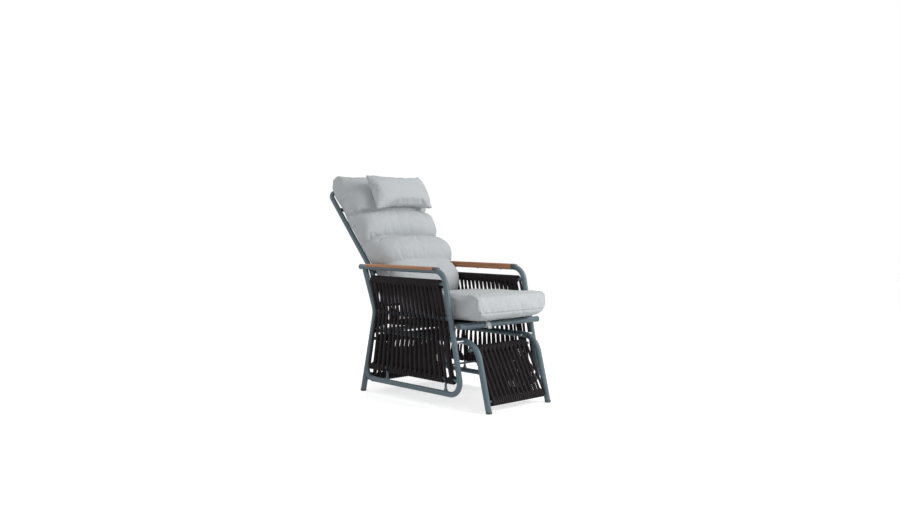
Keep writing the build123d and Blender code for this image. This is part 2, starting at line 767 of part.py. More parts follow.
keep("seat_tail_caps", both_sides(lambda sign: tail_plug(
    sign * seat_rail_x, seat_tail, seat_dir, seat_rail_d)))
seat_bar_z = pivot_z + seat_slope * (seat_bar_y - pivot_y)
seat_bar = cross_bar(seat_bar_y, seat_bar_z, seat_rail_x, seat_bar_d, tube_wall)
keep("seat_rear_bar", between(seat_bar, seat_rail_full))


def pivot_bolt(sign):
    """Bolt through rear leg, back tube and seat rail, with a domed head on the outside."""
    end = rail_inner_face - nut_h
    shank = x_cylinder(sign * end, sign * head_face, pivot_y, pivot_z, pivot_bolt_d / 2)
    head = x_cylinder(sign * head_face, sign * (head_face + pivot_head_h), pivot_y, pivot_z, pivot_head_d / 2)
    outer_edge = head.edges().sort_by(Axis.X)[-1 if sign > 0 else 0]
    return shank + fillet(outer_edge, pivot_head_round)


def pivot_nut(sign):
    """Hexagon lock nut on the inner end of the pivot bolt."""
    nut = extrude(Plane.YZ * RegularPolygon(nut_d / 2, 6), nut_h)
    start = rail_inner_face - nut_h if sign > 0 else -rail_inner_face
    nut = Pos(start, pivot_y, pivot_z) * nut
    return nut - x_cylinder(0, sign * half_width, pivot_y, pivot_z, pivot_bolt_d / 2)


def washer(sign, from_x):
    """Flat washer on the pivot bolt."""
    disc = x_cylinder(sign * from_x, sign * (from_x + pivot_washer_t), pivot_y, pivot_z, pivot_boss_d / 2)
    return disc - x_cylinder(0, sign * 2 * half_width, pivot_y, pivot_z, pivot_hole_r)


keep("pivot_bolts", both_sides(pivot_bolt))
keep("pivot_nuts", both_sides(pivot_nut))
keep("pivot_washers", [washer(sign, x) for _, sign in SIDES for x in (inner_washer_x, outer_washer_x)])

# Back frame
back_foot = along(pivot, low_dir, -back_tail)


def back_tube(wall):
    """The back frame's tube: up one side, across the top and down the other."""
    corners = [(-back_x, *back_foot), (-back_x, *bend), (-back_x, *back_top),
               (back_x, *back_top), (back_x, *bend), (back_x, *back_foot)]
    return bent_tube(corners, [bend_r, top_corner_r, top_corner_r, bend_r], back_tube_d, wall)


bush_r = pivot_hole_r + bush_wall
back_frame = back_tube(tube_wall)
for _, sign in SIDES:
    back_frame += x_cylinder(sign * back_inner_face, sign * back_outer_face, pivot_y, pivot_z, pivot_boss_d / 2)
for _, sign in SIDES:
    back_frame -= x_cylinder(0, sign * half_width, pivot_y, pivot_z, bush_r)
keep("back_frame", back_frame)


def bush(sign):
    """Plain nylon bush in the back tube, turning on the pivot bolt."""
    sleeve = x_cylinder(sign * back_inner_face, sign * back_outer_face, pivot_y, pivot_z, bush_r)
    return sleeve - x_cylinder(0, sign * half_width, pivot_y, pivot_z, pivot_hole_r)


keep("pivot_bushes", both_sides(bush))
keep("back_tail_caps", both_sides(lambda sign: tail_plug(sign * back_x, back_foot, low_dir, back_tube_d)))

back_full = back_tube(0.0)


def back_point(up, out):
    """A side-view point: up along the back tube from its bend, and square out from it."""
    if up < 0:
        return along(along(bend, low_dir, up), low_out, out)
    return along(along(bend, up_dir, up), up_out, out)


def bend_point(out):
    """The side-view point where the two lines at a distance out from the tube meet."""
    mitre = unit(low_out[0] + up_out[0], low_out[1] + up_out[1])
    return along(bend, mitre, out / (mitre[0] * up_out[0] + mitre[1] * up_out[1]))


# The bar at the bend lies on the tube's rounded bend, inside the corner
mitre = unit(low_out[0] + up_out[0], low_out[1] + up_out[1])
bend_share = mitre[0] * up_out[0] + mitre[1] * up_out[1]
bend_middle = along(bend, mitre, bend_r - bend_r / bend_share)
bar_points = [back_point(upper_bar_up, 0), back_point(middle_bar_up, 0), bend_middle,
              back_point(-lower_bar_down, 0)]
keep("back_crossbars", [cross_bar(*point, back_x, back_bar_d, tube_wall) - back_full for point in bar_points])


def sheet(near_line, far_line, half_length):
    """A flat sheet from side to side, between two side-view lines."""
    outline = [*near_line, *reversed(far_line)]
    face = make_face(Polyline(*at_x(-half_length, outline), close=True))
    return extrude(face, amount=2 * half_length, dir=(1, 0, 0))


def with_sleeves(sling, bars, half_length):
    """A sling's sheet with a sewn sleeve round each of its bars, given as point and diameter."""
    for point, diameter in bars:
        sling += cross_bar(*point, half_length, diameter + 2 * (seat_gap + sling_t))
    for point, diameter in bars:
        sling -= cross_bar(*point, half_width, diameter + 2 * seat_gap)
    return sling


def back_line(out):
    """Side-view line in front of the back's bars, from the upper to the lower one."""
    return [back_point(upper_bar_up, out), bend_point(out), back_point(-lower_bar_down, out)]


# Back sling: sleeves on the upper and the lower bar, and a sheet in front of the other two
sling_out = back_bar_d / 2 + seat_gap
back_sling_half = back_x - back_tube_d / 2 - sling_side_gap
back_sheet = sheet(back_line(sling_out), back_line(sling_out + sling_t), back_sling_half)
keep("back_sling", with_sleeves(
    back_sheet, [(bar_points[0], back_bar_d), (bar_points[-1], back_bar_d)], back_sling_half))

# Seat sling: a sheet over the two side rails, with a sewn sleeve round each
seat_up = (seat_dir[1], -seat_dir[0])
sling_rear_y = seat_bar_y - seat_bar_d / 2 - sling_side_gap
sling_front_y = seat_front_y + seat_front_d / 2 + strap_t + sling_front_gap
sling_ends = [(y, pivot_z + seat_slope * (y - pivot_y)) for y in (sling_rear_y, sling_front_y)]


def seat_line(height):
    """Side-view line at a height over the tops of the seat rails, from the rear to the front."""
    return [along(end, seat_up, seat_rail_d / 2 + height) for end in sling_ends]


seat_sling = sheet(seat_line(seat_gap), seat_line(seat_gap + sling_t), seat_rail_x)
for _, sign in SIDES:
    seat_sling += bar(*at_x(sign * seat_rail_x, sling_ends), seat_rail_d + 2 * (seat_gap + sling_t))
for _, sign in SIDES:
    rail_room = bar(*at_x(sign * seat_rail_x, [seat_tail, (seat_front_y, seat_front_z)]),
                    seat_rail_d + 2 * seat_gap)
    notch = x_cylinder(0, sign * half_width, seat_bolt_y, seat_bolt_z, spacer_d / 2 + sleeve_notch_gap)
    seat_sling -= rail_room
    seat_sling -= notch
keep("seat_sling", seat_sling)
print("frames and slings made")


def arc(x, start, end, swell):
    """Side-view arc that bulges to the left of the way from start to end."""
    left = unit(start[1] - end[1], end[0] - start[0])
    middle = along(((start[0] + end[0]) / 2, (start[1] + end[1]) / 2), left, swell)
    return ThreePointArc(*at_x(x, [start, middle, end]))


def arc_through(x, start, middle, end):
    """Side-view arc through three points."""
    return ThreePointArc(*at_x(x, [start, middle, end]))


def back_section(x, thick, long):
    """Closed outline of the back cushion at x, with shares of its thickness and length left."""
    core = (back_pad_out + bend_seam_out) / 2

    def point(up, out):
        drawn = core + (out - core) * thick
        return back_point(up * long, drawn)

    def corner(out):
        return bend_point(core + (out - core) * thick)

    low_back = point(-back_pad_drop, back_pad_out)
    top_back = point(back_pad_top, back_pad_out)
    top_front = point(back_pad_top, top_front_out)
    seam_points = [point(up, out) for up, out in zip(seam_up_lengths, seam_out_lengths)]
    crowns = [point(up, out) for up, out in zip(crown_up_lengths, crown_out_lengths)]
    low_front = point(-back_pad_drop, low_front_out)
    bend_seam = along(corner(bend_seam_out), low_dir, -bend_seam_drop)
    edges = [Line(*at_x(x, [low_back, corner(back_pad_out)])),
             Line(*at_x(x, [corner(back_pad_out), top_back])),
             arc(x, top_back, top_front, top_swell * thick),
             arc_through(x, top_front, crowns[2], seam_points[1]),
             arc_through(x, seam_points[1], crowns[1], seam_points[0]),
             arc_through(x, seam_points[0], crowns[0], bend_seam),
             arc_through(x, bend_seam, point(-low_crown_down, low_crown_out), low_front),
             arc(x, low_front, low_back, low_swell * thick)]
    return make_face(edges)


def seat_section(x, thick, long):
    """Closed outline of the seat cushion at x, with shares of its thickness and length left."""
    under = seat_line(seat_gap + sling_t + seat_gap)
    run = unit(under[1][0] - under[0][0], under[1][1] - under[0][1])
    up = (run[1], -run[0])
    core = seat_pad_rear_h / 2
    centre = (seat_pad_rear_y + seat_pad_nose_y) / 2

    def point(y, z):
        foot = y_on_line(under, y)
        high = (z - foot[1]) * up[1]
        middle = y_on_line(under, centre)
        start = (lerp(middle[0], foot[0], long), lerp(middle[1], foot[1], long))
        return along(start, up, core + (high - core) * thick)

    rear_low = y_on_line(under, seat_pad_rear_y)
    front_low = y_on_line(under, seat_pad_under_y)
    low_back = point(*rear_low)
    low_front = point(*front_low)
    nose = point(seat_pad_nose_y, seat_pad_nose_z)
    edge = point(seat_pad_edge_y, seat_pad_edge_z)
    top_back = point(seat_pad_rear_y, rear_low[1] + seat_pad_rear_h)
    return make_face([Line(*at_x(x, [low_back, low_front])),
                      arc(x, low_front, nose, seat_pad_nose_swell * thick),
                      arc(x, nose, edge, seat_pad_nose_swell * thick),
                      arc(x, edge, top_back, seat_pad_crown * thick),
                      Line(*at_x(x, [top_back, low_back]))])


def y_on_line(line, y):
    """The point of a side-view line at y."""
    share = (y - line[0][0]) / (line[1][0] - line[0][0])
    return (y, lerp(line[0][1], line[1][1], share))


def cushion(section, half_length):
    """A stuffed form through sections from side to side, drawn in towards both sides."""
    stations = zip(side_place_shares, side_thick_shares, side_long_shares)
    return loft([section(place * half_length, thick, long) for place, thick, long in stations])


back_pad_out = sling_out + sling_t + seat_gap
back_pad = cushion(back_section, back_pad_half)
keep("back_cushion", back_pad)
seat_pad = cushion(seat_section, seat_pad_half)
keep("seat_cushion", seat_pad)
print("cushions made, gap between them", round(back_pad.distance_to(seat_pad), 2), "mm")

# Head pillow, leaning against the back cushion
lean = math.radians(pillow_lean)
pillow_up = (math.sin(lean), math.cos(lean))
pillow_out = (-pillow_up[1], pillow_up[0])
pillow_centre = back_point(back_pad_top - pillow_down, pillow_off)


def pillow_section(x, thick, high):
    """Lens-shaped section of the pillow with narrow sewn edges."""
    def point(up_share, out_share):
        start = along(pillow_centre, pillow_up, up_share * high * pillow_h / 2)
        return along(start, pillow_out, out_share * pillow_t / 2)

    edge = pillow_edge_share
    return make_face([
        arc_through(x, point(1, edge), point(0, thick), point(-1, edge)),
        Line(*at_x(x, [point(-1, edge), point(-1, -edge)])),
        arc_through(x, point(-1, -edge), point(0, -thick), point(1, -edge)),
        Line(*at_x(x, [point(1, -edge), point(1, edge)]))])


pillow_stations = zip(pillow_place_shares, pillow_thick_shares, pillow_high_shares)
pillow = loft([pillow_section(place * pillow_w / 2, thick, high) for place, thick, high in pillow_stations])
keep("head_pillow", pillow)
print("pillow made, gap to the back cushion", round(pillow.distance_to(back_pad), 2), "mm")

# Strap from the seat cushion round the front rail
strap_r = seat_front_d / 2 + seat_gap
strap_ends = (strap_x - strap_w / 2, strap_x + strap_w / 2)
strap_ring = x_cylinder(*strap_ends, seat_front_y, seat_front_z, strap_r + strap_t)
strap_ring -= x_cylinder(*strap_ends, seat_front_y, seat_front_z, strap_r)
tail_y = seat_front_y - strap_r - strap_t / 2
strap_end = Pos(strap_x, tail_y, seat_front_z - strap_tail / 2) * Box(strap_w, strap_t, strap_tail)
strap_top = seat_front_z + seat_rail_d / 2 + seat_gap + sling_t
keep("cushion_strap", (strap_ring + strap_end) & below_floor(strap_top))

# The whole chair is moved so that the middle of its floor box is the origin
boxes = [solid.bounding_box() for solids in made.values() for solid in solids]
low = [min(getattr(box.min, axis) for box in boxes) for axis in "XYZ"]
high = [max(getattr(box.max, axis) for box in boxes) for axis in "XYZ"]
to_origin = Pos(-(low[0] + high[0]) / 2, -(low[1] + high[1]) / 2, -low[2])
print("box", [round(b - a, 2) for a, b in zip(low, high)], "moved by", to_origin.position)
print("pivot at y", round(pivot_y + to_origin.position.Y, 3), "z", round(pivot_z + to_origin.position.Z, 3))
for name, solids in made.items():
    placed = [solid.moved(to_origin) for solid in solids]
    export_step(Compound(children=placed) if len(placed) > 1 else placed[0], "parts/" + name + ".step")
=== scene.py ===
"""Dresses the outdoor reclining lounge chair: braided ropes, mesh slings, sewn cushions and finishes.

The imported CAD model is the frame. Lengths are in metres, +Z is up, and the sitter looks along -Y.
Side-view points are (y, z). New pieces are surfaces computed with numpy in the place they keep.
"""
import json
import math

import bpy
import numpy as np
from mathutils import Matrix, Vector


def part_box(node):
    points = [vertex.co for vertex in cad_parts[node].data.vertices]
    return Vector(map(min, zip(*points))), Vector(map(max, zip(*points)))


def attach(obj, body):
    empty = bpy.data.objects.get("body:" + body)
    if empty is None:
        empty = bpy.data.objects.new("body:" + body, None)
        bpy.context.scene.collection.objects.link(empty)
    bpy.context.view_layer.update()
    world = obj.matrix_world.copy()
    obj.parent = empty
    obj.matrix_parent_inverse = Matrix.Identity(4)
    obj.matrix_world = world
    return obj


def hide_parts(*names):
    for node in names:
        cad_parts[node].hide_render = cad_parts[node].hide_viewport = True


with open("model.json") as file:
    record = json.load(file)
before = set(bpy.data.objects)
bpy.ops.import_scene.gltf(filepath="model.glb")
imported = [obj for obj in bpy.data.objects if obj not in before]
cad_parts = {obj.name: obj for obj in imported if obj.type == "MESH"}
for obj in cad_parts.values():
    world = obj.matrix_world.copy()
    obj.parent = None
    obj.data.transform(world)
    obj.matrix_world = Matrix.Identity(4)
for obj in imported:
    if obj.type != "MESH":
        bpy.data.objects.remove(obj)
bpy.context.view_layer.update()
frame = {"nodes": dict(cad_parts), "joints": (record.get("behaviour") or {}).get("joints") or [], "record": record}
materials = {}                                 # by slot of the record; make_materials fills it

bl_info = {
    "name": "Reclining rope lounge chair",
    "version": (1, 0, 0),
    "blender": (4, 5, 0),
    "location": "View3D > Sidebar > Lounge Chair",
    "description": "Adds the ropes, slings, cushions and finishes of a reclining rope lounge chair",
    "category": "Add Mesh",
}


def box_corners(node):
    """Lowest and highest corner of a part of the frame."""
    return tuple(np.array(corner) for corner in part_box(node))


HINGE = np.array(frame["joints"][0]["pos_m"][1:])      # side-view point of the recline hinge
SIDES = (("right", -1.0), ("left", 1.0))
ARM_ROD, MIDDLE_ROD, LOWER_ROD = (box_corners(place + "_rope_rods") for place in ("arm", "middle", "lower"))
FRONT_RODS, REAR_RODS = box_corners("front_rope_rods"), box_corners("rear_rope_rods")
ROD_RADIUS = (ARM_ROD[1][2] - ARM_ROD[0][2]) / 2
FRONT_RAIL, SPACERS = box_corners("seat_front_rail"), box_corners("seat_spacers")
RAIL_FRONT = (FRONT_RAIL[0] + FRONT_RAIL[1])[1:] / 2   # front end of the seat rails' centre line
CAMERA_PLACE = (-3.0219, -3.387812, 0.8461)
CAMERA_WAY = (0.67779, 0.73454, -0.03225)
LAMPS = (("key_lamp", (1.5, -3.3, 2.4), 2.0, "key_power"),
         ("fill_lamp", (-3.2, -1.4, 2.2), 2.2, "fill_power"),
         ("rear_lamp", (-1.2, 3.0, 2.6), 2.2, "fill_power"))
LAMP_TARGET = (0.0, 0.0, 0.5)

# Ropes: places of the first and the last turn on the lower, middle and arm rods of a side panel
SIDE_PLACES = ((0.179688, -0.422312), (0.121688, -0.369312), (0.163688, -0.326312))
STRUT_TURNS = (3, 15)                          # a strut stands after these turns of a side panel
FRONT_PANEL_HALF = 0.168
REAR_PANEL_HALF = 0.214
END_SHARE = 0.72                               # of its radius that a rope has at its two ends
ROPE_WINDOW = 0.011                            # length of the running mean that rounds a rope's route

# Slings: bars of the back as (up along the tube from its bend, radius)
BACK_BARS = ((-0.168, 0.010), (0.0, 0.0118), (0.4273, 0.010))
BAR_GAP = 0.0004                               # between a bar and the cloth on it
NOTCH_GAP = 0.0025                             # between a spacer and the seat sling's notch round it
NOTCH_REACH = 0.016                            # finer rows this far to both sides of a spacer

# Back cushion
BACK_BEND = np.array([0.210688, 0.605])        # corner of the back tube's centre line
BACK_TOP = np.array([0.585688, 1.015])
TUBE_BEND_R = 0.100
BACK_UNDERSIDE = 0.0130                        # from the tube's centre line out to the sling's face
# Its seams as (up along the tube from its bend, out from the tube, how far the seam climbs on the
# cushion's flank for each step back)
HEAD_SEAM = (0.281, 0.166, 0.48)
MIDDLE_SEAM = (0.146, 0.105, 0.0)
LUMBAR_SEAM = (-0.005, 0.159, 0.0)
BACK_SEAMS = (HEAD_SEAM, MIDDLE_SEAM, LUMBAR_SEAM)
# Its channels from the lowest to the head part: highest point (up, out), fullness, points along it
BACK_CHANNELS = ((-0.075, 0.188, 2.6, 46), (0.050, 0.177, 2.5, 46), (0.205, 0.163, 2.8, 46),
                 (0.425, 0.180, 2.6, 60))
BACK_LOW_OUT, BACK_TOP_OUT = 0.138, 0.122      # how far its lower and its upper edge stand out
HELD_EAR = 0.045                               # size of its upper corners, held while it is filled
HELD_SEAM = 0.006                              # and half the width of the band held along a seam
BACK_PLEATS = ((0.095, 0.0052), (0.045, 0.0044))   # fans at a seam's ends: place out, height
BACK_PLEAT_REACH = 0.034

# Seat cushion, in side-view points
SEAT_RISE = 0.0150                             # from the rails' centre line up to the cushion
SEAT_REAR_Y = 0.024688
SEAT_NOSE = (-0.555312, 0.449)
SEAT_EDGE = (-0.524312, 0.527)
SEAT_UNDER_Y = -0.470312
NOSE_SEAM_SHARE = 0.30                         # height of the nose's seam, as a share of the cushion's
HELD_FLANK, HELD_FRONT, HELD_EDGE = 0.030, 0.020, 0.016   # what is held about the front corners
SEAT_PLEAT_HEIGHT, SEAT_PLEAT_REACH = 0.0036, 0.040

# Head pillow
PILLOW_CENTRE = np.array([0.276688, 1.014])
PILLOW_LEAN = math.radians(28.3)
PILLOW_LIFT = np.array([math.sin(PILLOW_LEAN), math.cos(PILLOW_LEAN)])

# Filling of the cushions
ROOM_TO_SWELL = 0.006                          # a form is this much smaller, since it swells
PILLOW_ROOM = 0.004
HELD_BELOW = 0.012                             # a cushion is held up to this height over its support
# Small folds beside a seam, as three waves: length along the seam, how far they reach, share
GATHERS = ((0.019, 0.014, 0.6), (0.034, 0.026, 1.0), (0.061, 0.045, 0.9))
CLOTH_FRAMES = 20
CLOTH_SETTINGS = {"quality": 5, "mass": 0.25, "tension_stiffness": 12, "compression_stiffness": 12,
                  "shear_stiffness": 6, "bending_stiffness": 0.35, "use_pressure": True}


# Settings

def length_value(name, description, default):
    """A length in metres, as a property."""
    return bpy.props.FloatProperty(name=name, description=description, default=default, unit="LENGTH",
                                   subtype="DISTANCE", precision=4)


def number_value(name, description, default, **more):
    """A plain number, as a property."""
    return bpy.props.FloatProperty(name=name, description=description, default=default, **more)


def count_value(name, description, default):
    """A whole number of three or more, as a property."""
    return bpy.props.IntProperty(name=name, description=description, default=default, min=3)


def colour_value(name, description, default):
    """A colour, as a property."""
    return bpy.props.FloatVectorProperty(name=name, description=description, default=default, size=3,
                                         min=0.0, max=1.0, subtype="COLOR")


class RopeSettings(bpy.types.PropertyGroup):
    """Sizes of the wound rope panels."""
    diameter: length_value("Rope diameter", "Thickness of the braided rope", 0.013)
    clearance: length_value("Clearance", "Space between rope and rod", 0.0006)
    step: length_value("Step", "Length of one piece of the tube along the rope", 0.0045)
    sides: count_value("Sides", "Points round the rope", 12)
    side_turns: count_value("Side turns", "Turns on each side panel", 18)
    front_turns: count_value("Front turns", "Turns between the front legs", 13)
    rear_turns: count_value("Rear turns", "Turns between the rear legs", 15)
    sway: length_value("Sway", "How far a strand wanders from straight", 0.0009)
    tail: length_value("Tail", "Length of the tucked rope end", 0.024)


class CushionSettings(bpy.types.PropertyGroup):
    """Sizes of the cushions and how full they are."""
    back_half: length_value("Back half width", "Middle of the back cushion to its side", 0.227)
    back_overlap: length_value("Back overlap", "How much wider the back cushion is over the arms", 0.021)
    head_narrowing: length_value("Head narrowing", "How far the head part is drawn in at its sides", 0.012)
    back_top: length_value("Back top", "From the frame's bend up to the cushion's top", 0.571)
    back_drop: length_value("Back drop", "From the frame's bend down to the cushion's lower end", 0.172)
    seat_half: length_value("Seat half width", "Middle of the seat cushion to its side", 0.230)
    seat_depth: length_value("Seat height", "Height of the seat cushion at its rear end", 0.134)
    pillow_width: length_value("Pillow width", "Head pillow from side to side", 0.384)
    pillow_height: length_value("Pillow height", "Head pillow from lower to upper edge", 0.196)
    pillow_thickness: length_value("Pillow thickness", "Head pillow at its middle", 0.096)
    seam_depth: length_value("Seam depth", "How deep a seam is drawn in", 0.0042)
    gather: length_value("Gathers", "Height of the small folds beside the seams", 0.0008)
    pressure: number_value("Pressure", "Filling pressure of the cloth", 4.0, min=0.0)


class SlingSettings(bpy.types.PropertyGroup):
    """Sizes of the stretched mesh slings."""
    thickness: length_value("Sling thickness", "Thickness of the mesh cloth", 0.0018)
    hem: length_value("Hem", "Length of cloth turned back round a bar", 0.042)
    rail_place: length_value("Rail place", "Middle of the seat to the centre of a side rail", 0.207)
    rail_radius: length_value("Rail radius", "Radius of a seat side rail", 0.012)
    seat_rear: length_value("Seat sling rear", "Place of the seat sling's rear edge", 0.0587)
    seat_front: length_value("Seat sling front", "Place of the seat sling's front edge", -0.4313)
    back_half: length_value("Back sling half width", "Middle of the back sling to its edge", 0.200)
    strap_width: length_value("Strap width", "Width of the cushion's strap", 0.024)
    strap_place: length_value("Strap place", "Place of the strap along the front rail", -0.090)
    strap_thickness: length_value("Strap thickness", "Thickness of the webbing", 0.0016)
    strap_tail: length_value("Strap end", "Length of the strap's loose end", 0.018)


class FinishSettings(bpy.types.PropertyGroup):
    """Colours of the finishes."""
    powder: colour_value("Powder coat", "Slate grey coat of the tubes", (0.085, 0.128, 0.150))
    wood: colour_value("Teak", "Oiled teak of the arm pads", (0.46, 0.205, 0.085))
    wood_dark: colour_value("Teak grain", "Dark lines in the teak", (0.25, 0.095, 0.038))
    plastic: colour_value("Plastic", "Moulded caps and feet", (0.050, 0.062, 0.070))
    rope: colour_value("Rope", "Yarn of the braided rope", (0.019, 0.0150, 0.0172))
    mesh: colour_value("Sling mesh", "Yarn of the slings", (0.022, 0.024, 0.027))
    cloth: colour_value("Cushion cloth", "Light grey cushion cloth", (0.47, 0.495, 0.51))
    webbing: colour_value("Webbing", "Strap under the seat cushion", (0.52, 0.54, 0.56))
    steel: colour_value("Steel", "Bolts, screws and washers", (0.42, 0.44, 0.46))


class StageSettings(bpy.types.PropertyGroup):
    """Light and camera."""
    key_power: number_value("Key light", "Power of the large lamp", 112.0, unit="POWER")
    fill_power: number_value("Fill light", "Power of the other two lamps", 19.0, unit="POWER")
    sky: number_value("Sky", "Strength of the light from all round", 0.44)
    lens: number_value("Lens", "Focal length in millimetres", 35.95)
    floor_colour: colour_value("Floor", "Pale studio floor", (0.80, 0.80, 0.80))
    floor_glow: number_value("Floor glow", "Light that the camera sees from the floor", 0.62)


# Meshes

def unit(vector):
    """A vector, or the last axis of an array of them, at length one."""
    vector = np.asarray(vector, float)
    return vector / np.linalg.norm(vector, axis=-1, keepdims=True)


def turned(way):
    """A side-view vector, or an array of them, turned left by a right angle."""
    return np.stack([-way[..., 1], way[..., 0]], -1)


def travelled_along(line):
    """How far along a line of points each point is."""
    return np.concatenate([[0], np.cumsum(np.linalg.norm(np.diff(line, axis=0), axis=1))])


def grid_quads(rows, columns, round_columns):
    """Corner numbers of the quads of a grid; the last column joins the first if it goes round."""
    row, column = np.meshgrid(np.arange(rows - 1), np.arange(columns - (0 if round_columns else 1)),
                              indexing="ij")
    first = row * columns + column
    second = row * columns + (column + 1) % columns
    return np.stack([first, second, second + columns, first + columns], -1).reshape(-1, 4)


def end_caps(rows, columns):
    """Corner numbers of the faces that shut the two ends of a grid that goes round."""
    return [list(range(columns))[::-1], list(range((rows - 1) * columns, rows * columns))]


def signed_volume(points, quads):
    """Sixfold volume inside a closed mesh: sum of triple products, below zero if inside out."""
    a, b, c, d = (points[quads[:, k]] for k in range(4))
    return float((np.cross(a, b) * c).sum() + (np.cross(a, c) * d).sum())


def new_piece(name, points, quads, caps=()):
    """A smooth mesh object from points, quads and closing faces, at the origin, facing outwards."""
    points = np.asarray(points, float).reshape(-1, 3)
    if signed_volume(points, quads) < 0:
        quads = quads[:, ::-1]
        caps = [list(reversed(cap)) for cap in caps]
    mesh = bpy.data.meshes.new(name)
    mesh.from_pydata(points.tolist(), [], quads.tolist() + [list(cap) for cap in caps])
    mesh.polygons.foreach_set("use_smooth", np.ones(len(mesh.polygons), bool))
    mesh.validate()
    mesh.update()
    piece = bpy.data.objects.new(name, mesh)
    bpy.context.scene.collection.objects.link(piece)
    return piece


def vertex_values(mesh, key):
    """The places or the normals of a mesh's vertices as an array."""
    values = np.empty(3 * len(mesh.vertices), np.float32)
    mesh.vertices.foreach_get(key, values)
    return values.reshape(-1, 3).astype(float)


def points_of(piece):
    """The vertices of a piece as an array."""
    return vertex_values(piece.data, "co")


def set_points(piece, points):
    """Moves the vertices of a piece."""
    piece.data.vertices.foreach_set("co", np.asarray(points, np.float32).ravel())
    piece.data.update()


def finish_piece(piece, slot, body):
    """Gives a piece the material of its slot in the record, and the body that it rides on."""
    piece.data.materials.clear()
    piece.data.materials.append(materials[slot])
    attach(piece, body)


# Rope panels

def smooth_route(points, step, window):
    """The route resampled at even steps after a running mean, so that it has no corners."""
    gaps = np.diff(travelled_along(points))
    points = points[np.concatenate([[True], gaps > 1e-7])]
    travelled = travelled_along(points)
    fine = np.arange(0, travelled[-1], step / 4)
    line = np.stack([np.interp(fine, travelled, points[:, axis]) for axis in range(3)], -1)
    count = max(3, int(window / (step / 4)) | 1)
    pad = count // 2
    padded = np.concatenate([np.repeat(line[:1], pad, 0), line, np.repeat(line[-1:], pad, 0)])
    sums = np.cumsum(np.concatenate([np.zeros((1, 3)), padded]), axis=0)
    line = (sums[count:] - sums[:-count]) / count
    travelled = travelled_along(line)
    even = np.linspace(0, travelled[-1], int(travelled[-1] / step))
    return np.stack([np.interp(even, travelled, line[:, axis]) for axis in range(3)], -1), even


def rope_tube(name, route, lengths, rope, rods_way):
    """A round tube along a route: centre + r (cos a * side + sin a * up), closed at both ends.

    The side vector is square to the route and to the rods' direction. The UV map runs once round
    the rope in u, and in v along it in rope diameters.
    """
    tangent = unit(np.gradient(route, axis=0))
    side = unit(np.cross(tangent, rods_way))
    up = np.cross(tangent, side)
    angle = np.linspace(0, 2 * np.pi, rope.sides, endpoint=False)
    radius = np.full((len(route), 1, 1), rope.diameter / 2)
    radius[[0, -1]] *= END_SHARE
    ring = np.cos(angle)[None, :, None] * side[:, None] + np.sin(angle)[None, :, None] * up[:, None]
    points = route[:, None] + radius * ring
    quads = grid_quads(len(route), rope.sides, True)
    flipped = signed_volume(points.reshape(-1, 3), quads) < 0
    piece = new_piece(name, points, quads, end_caps(len(route), rope.sides))
    row = np.repeat(np.arange(len(route) - 1), rope.sides)
    column = np.tile(np.arange(rope.sides), len(route) - 1)
    u = (column[:, None] + np.array([0, 1, 1, 0])[None]) / rope.sides
    v = lengths[row[:, None] + np.array([0, 0, 1, 1])[None]] / rope.diameter
    corners = np.stack([u, v], -1)
    if flipped:
        corners = corners[:, ::-1]
    flat = np.zeros((len(piece.data.loops), 2), np.float32)
    flat[:corners.shape[0] * 4] = corners.reshape(-1, 2)
    piece.data.uv_layers.new(name="along_rope").data.foreach_set("uv", flat.ravel())
    return piece


def lay_rope(name, node, corners, rope, rods_way):
    """Lays a rope along a route with its corners rounded, in the place of its part of the frame."""
    route, lengths = smooth_route(corners, rope.step, ROPE_WINDOW)
    piece = rope_tube("braided_rope_" + name, route, lengths, rope, rods_way)
    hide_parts(node)
    finish_piece(piece, "rope", "chair_frame")


def wandering(turns, samples, amount, seed):
    """Small sideways drift of each strand: two sine waves of seeded phase, zero at both ends."""
    rng = np.random.default_rng(seed)
    share = np.linspace(0, 1, samples)[None]
    phase = rng.uniform(0, 2 * np.pi, (turns, 2))
    size = rng.uniform(0.3, 1.0, (turns, 2)) * amount
    slow = size[:, :1] * np.sin(2 * np.pi * share + phase[:, :1])
    fast = size[:, 1:] * np.sin(5 * np.pi * share + phase[:, 1:])
    return (slow + fast) * np.sin(np.pi * share)


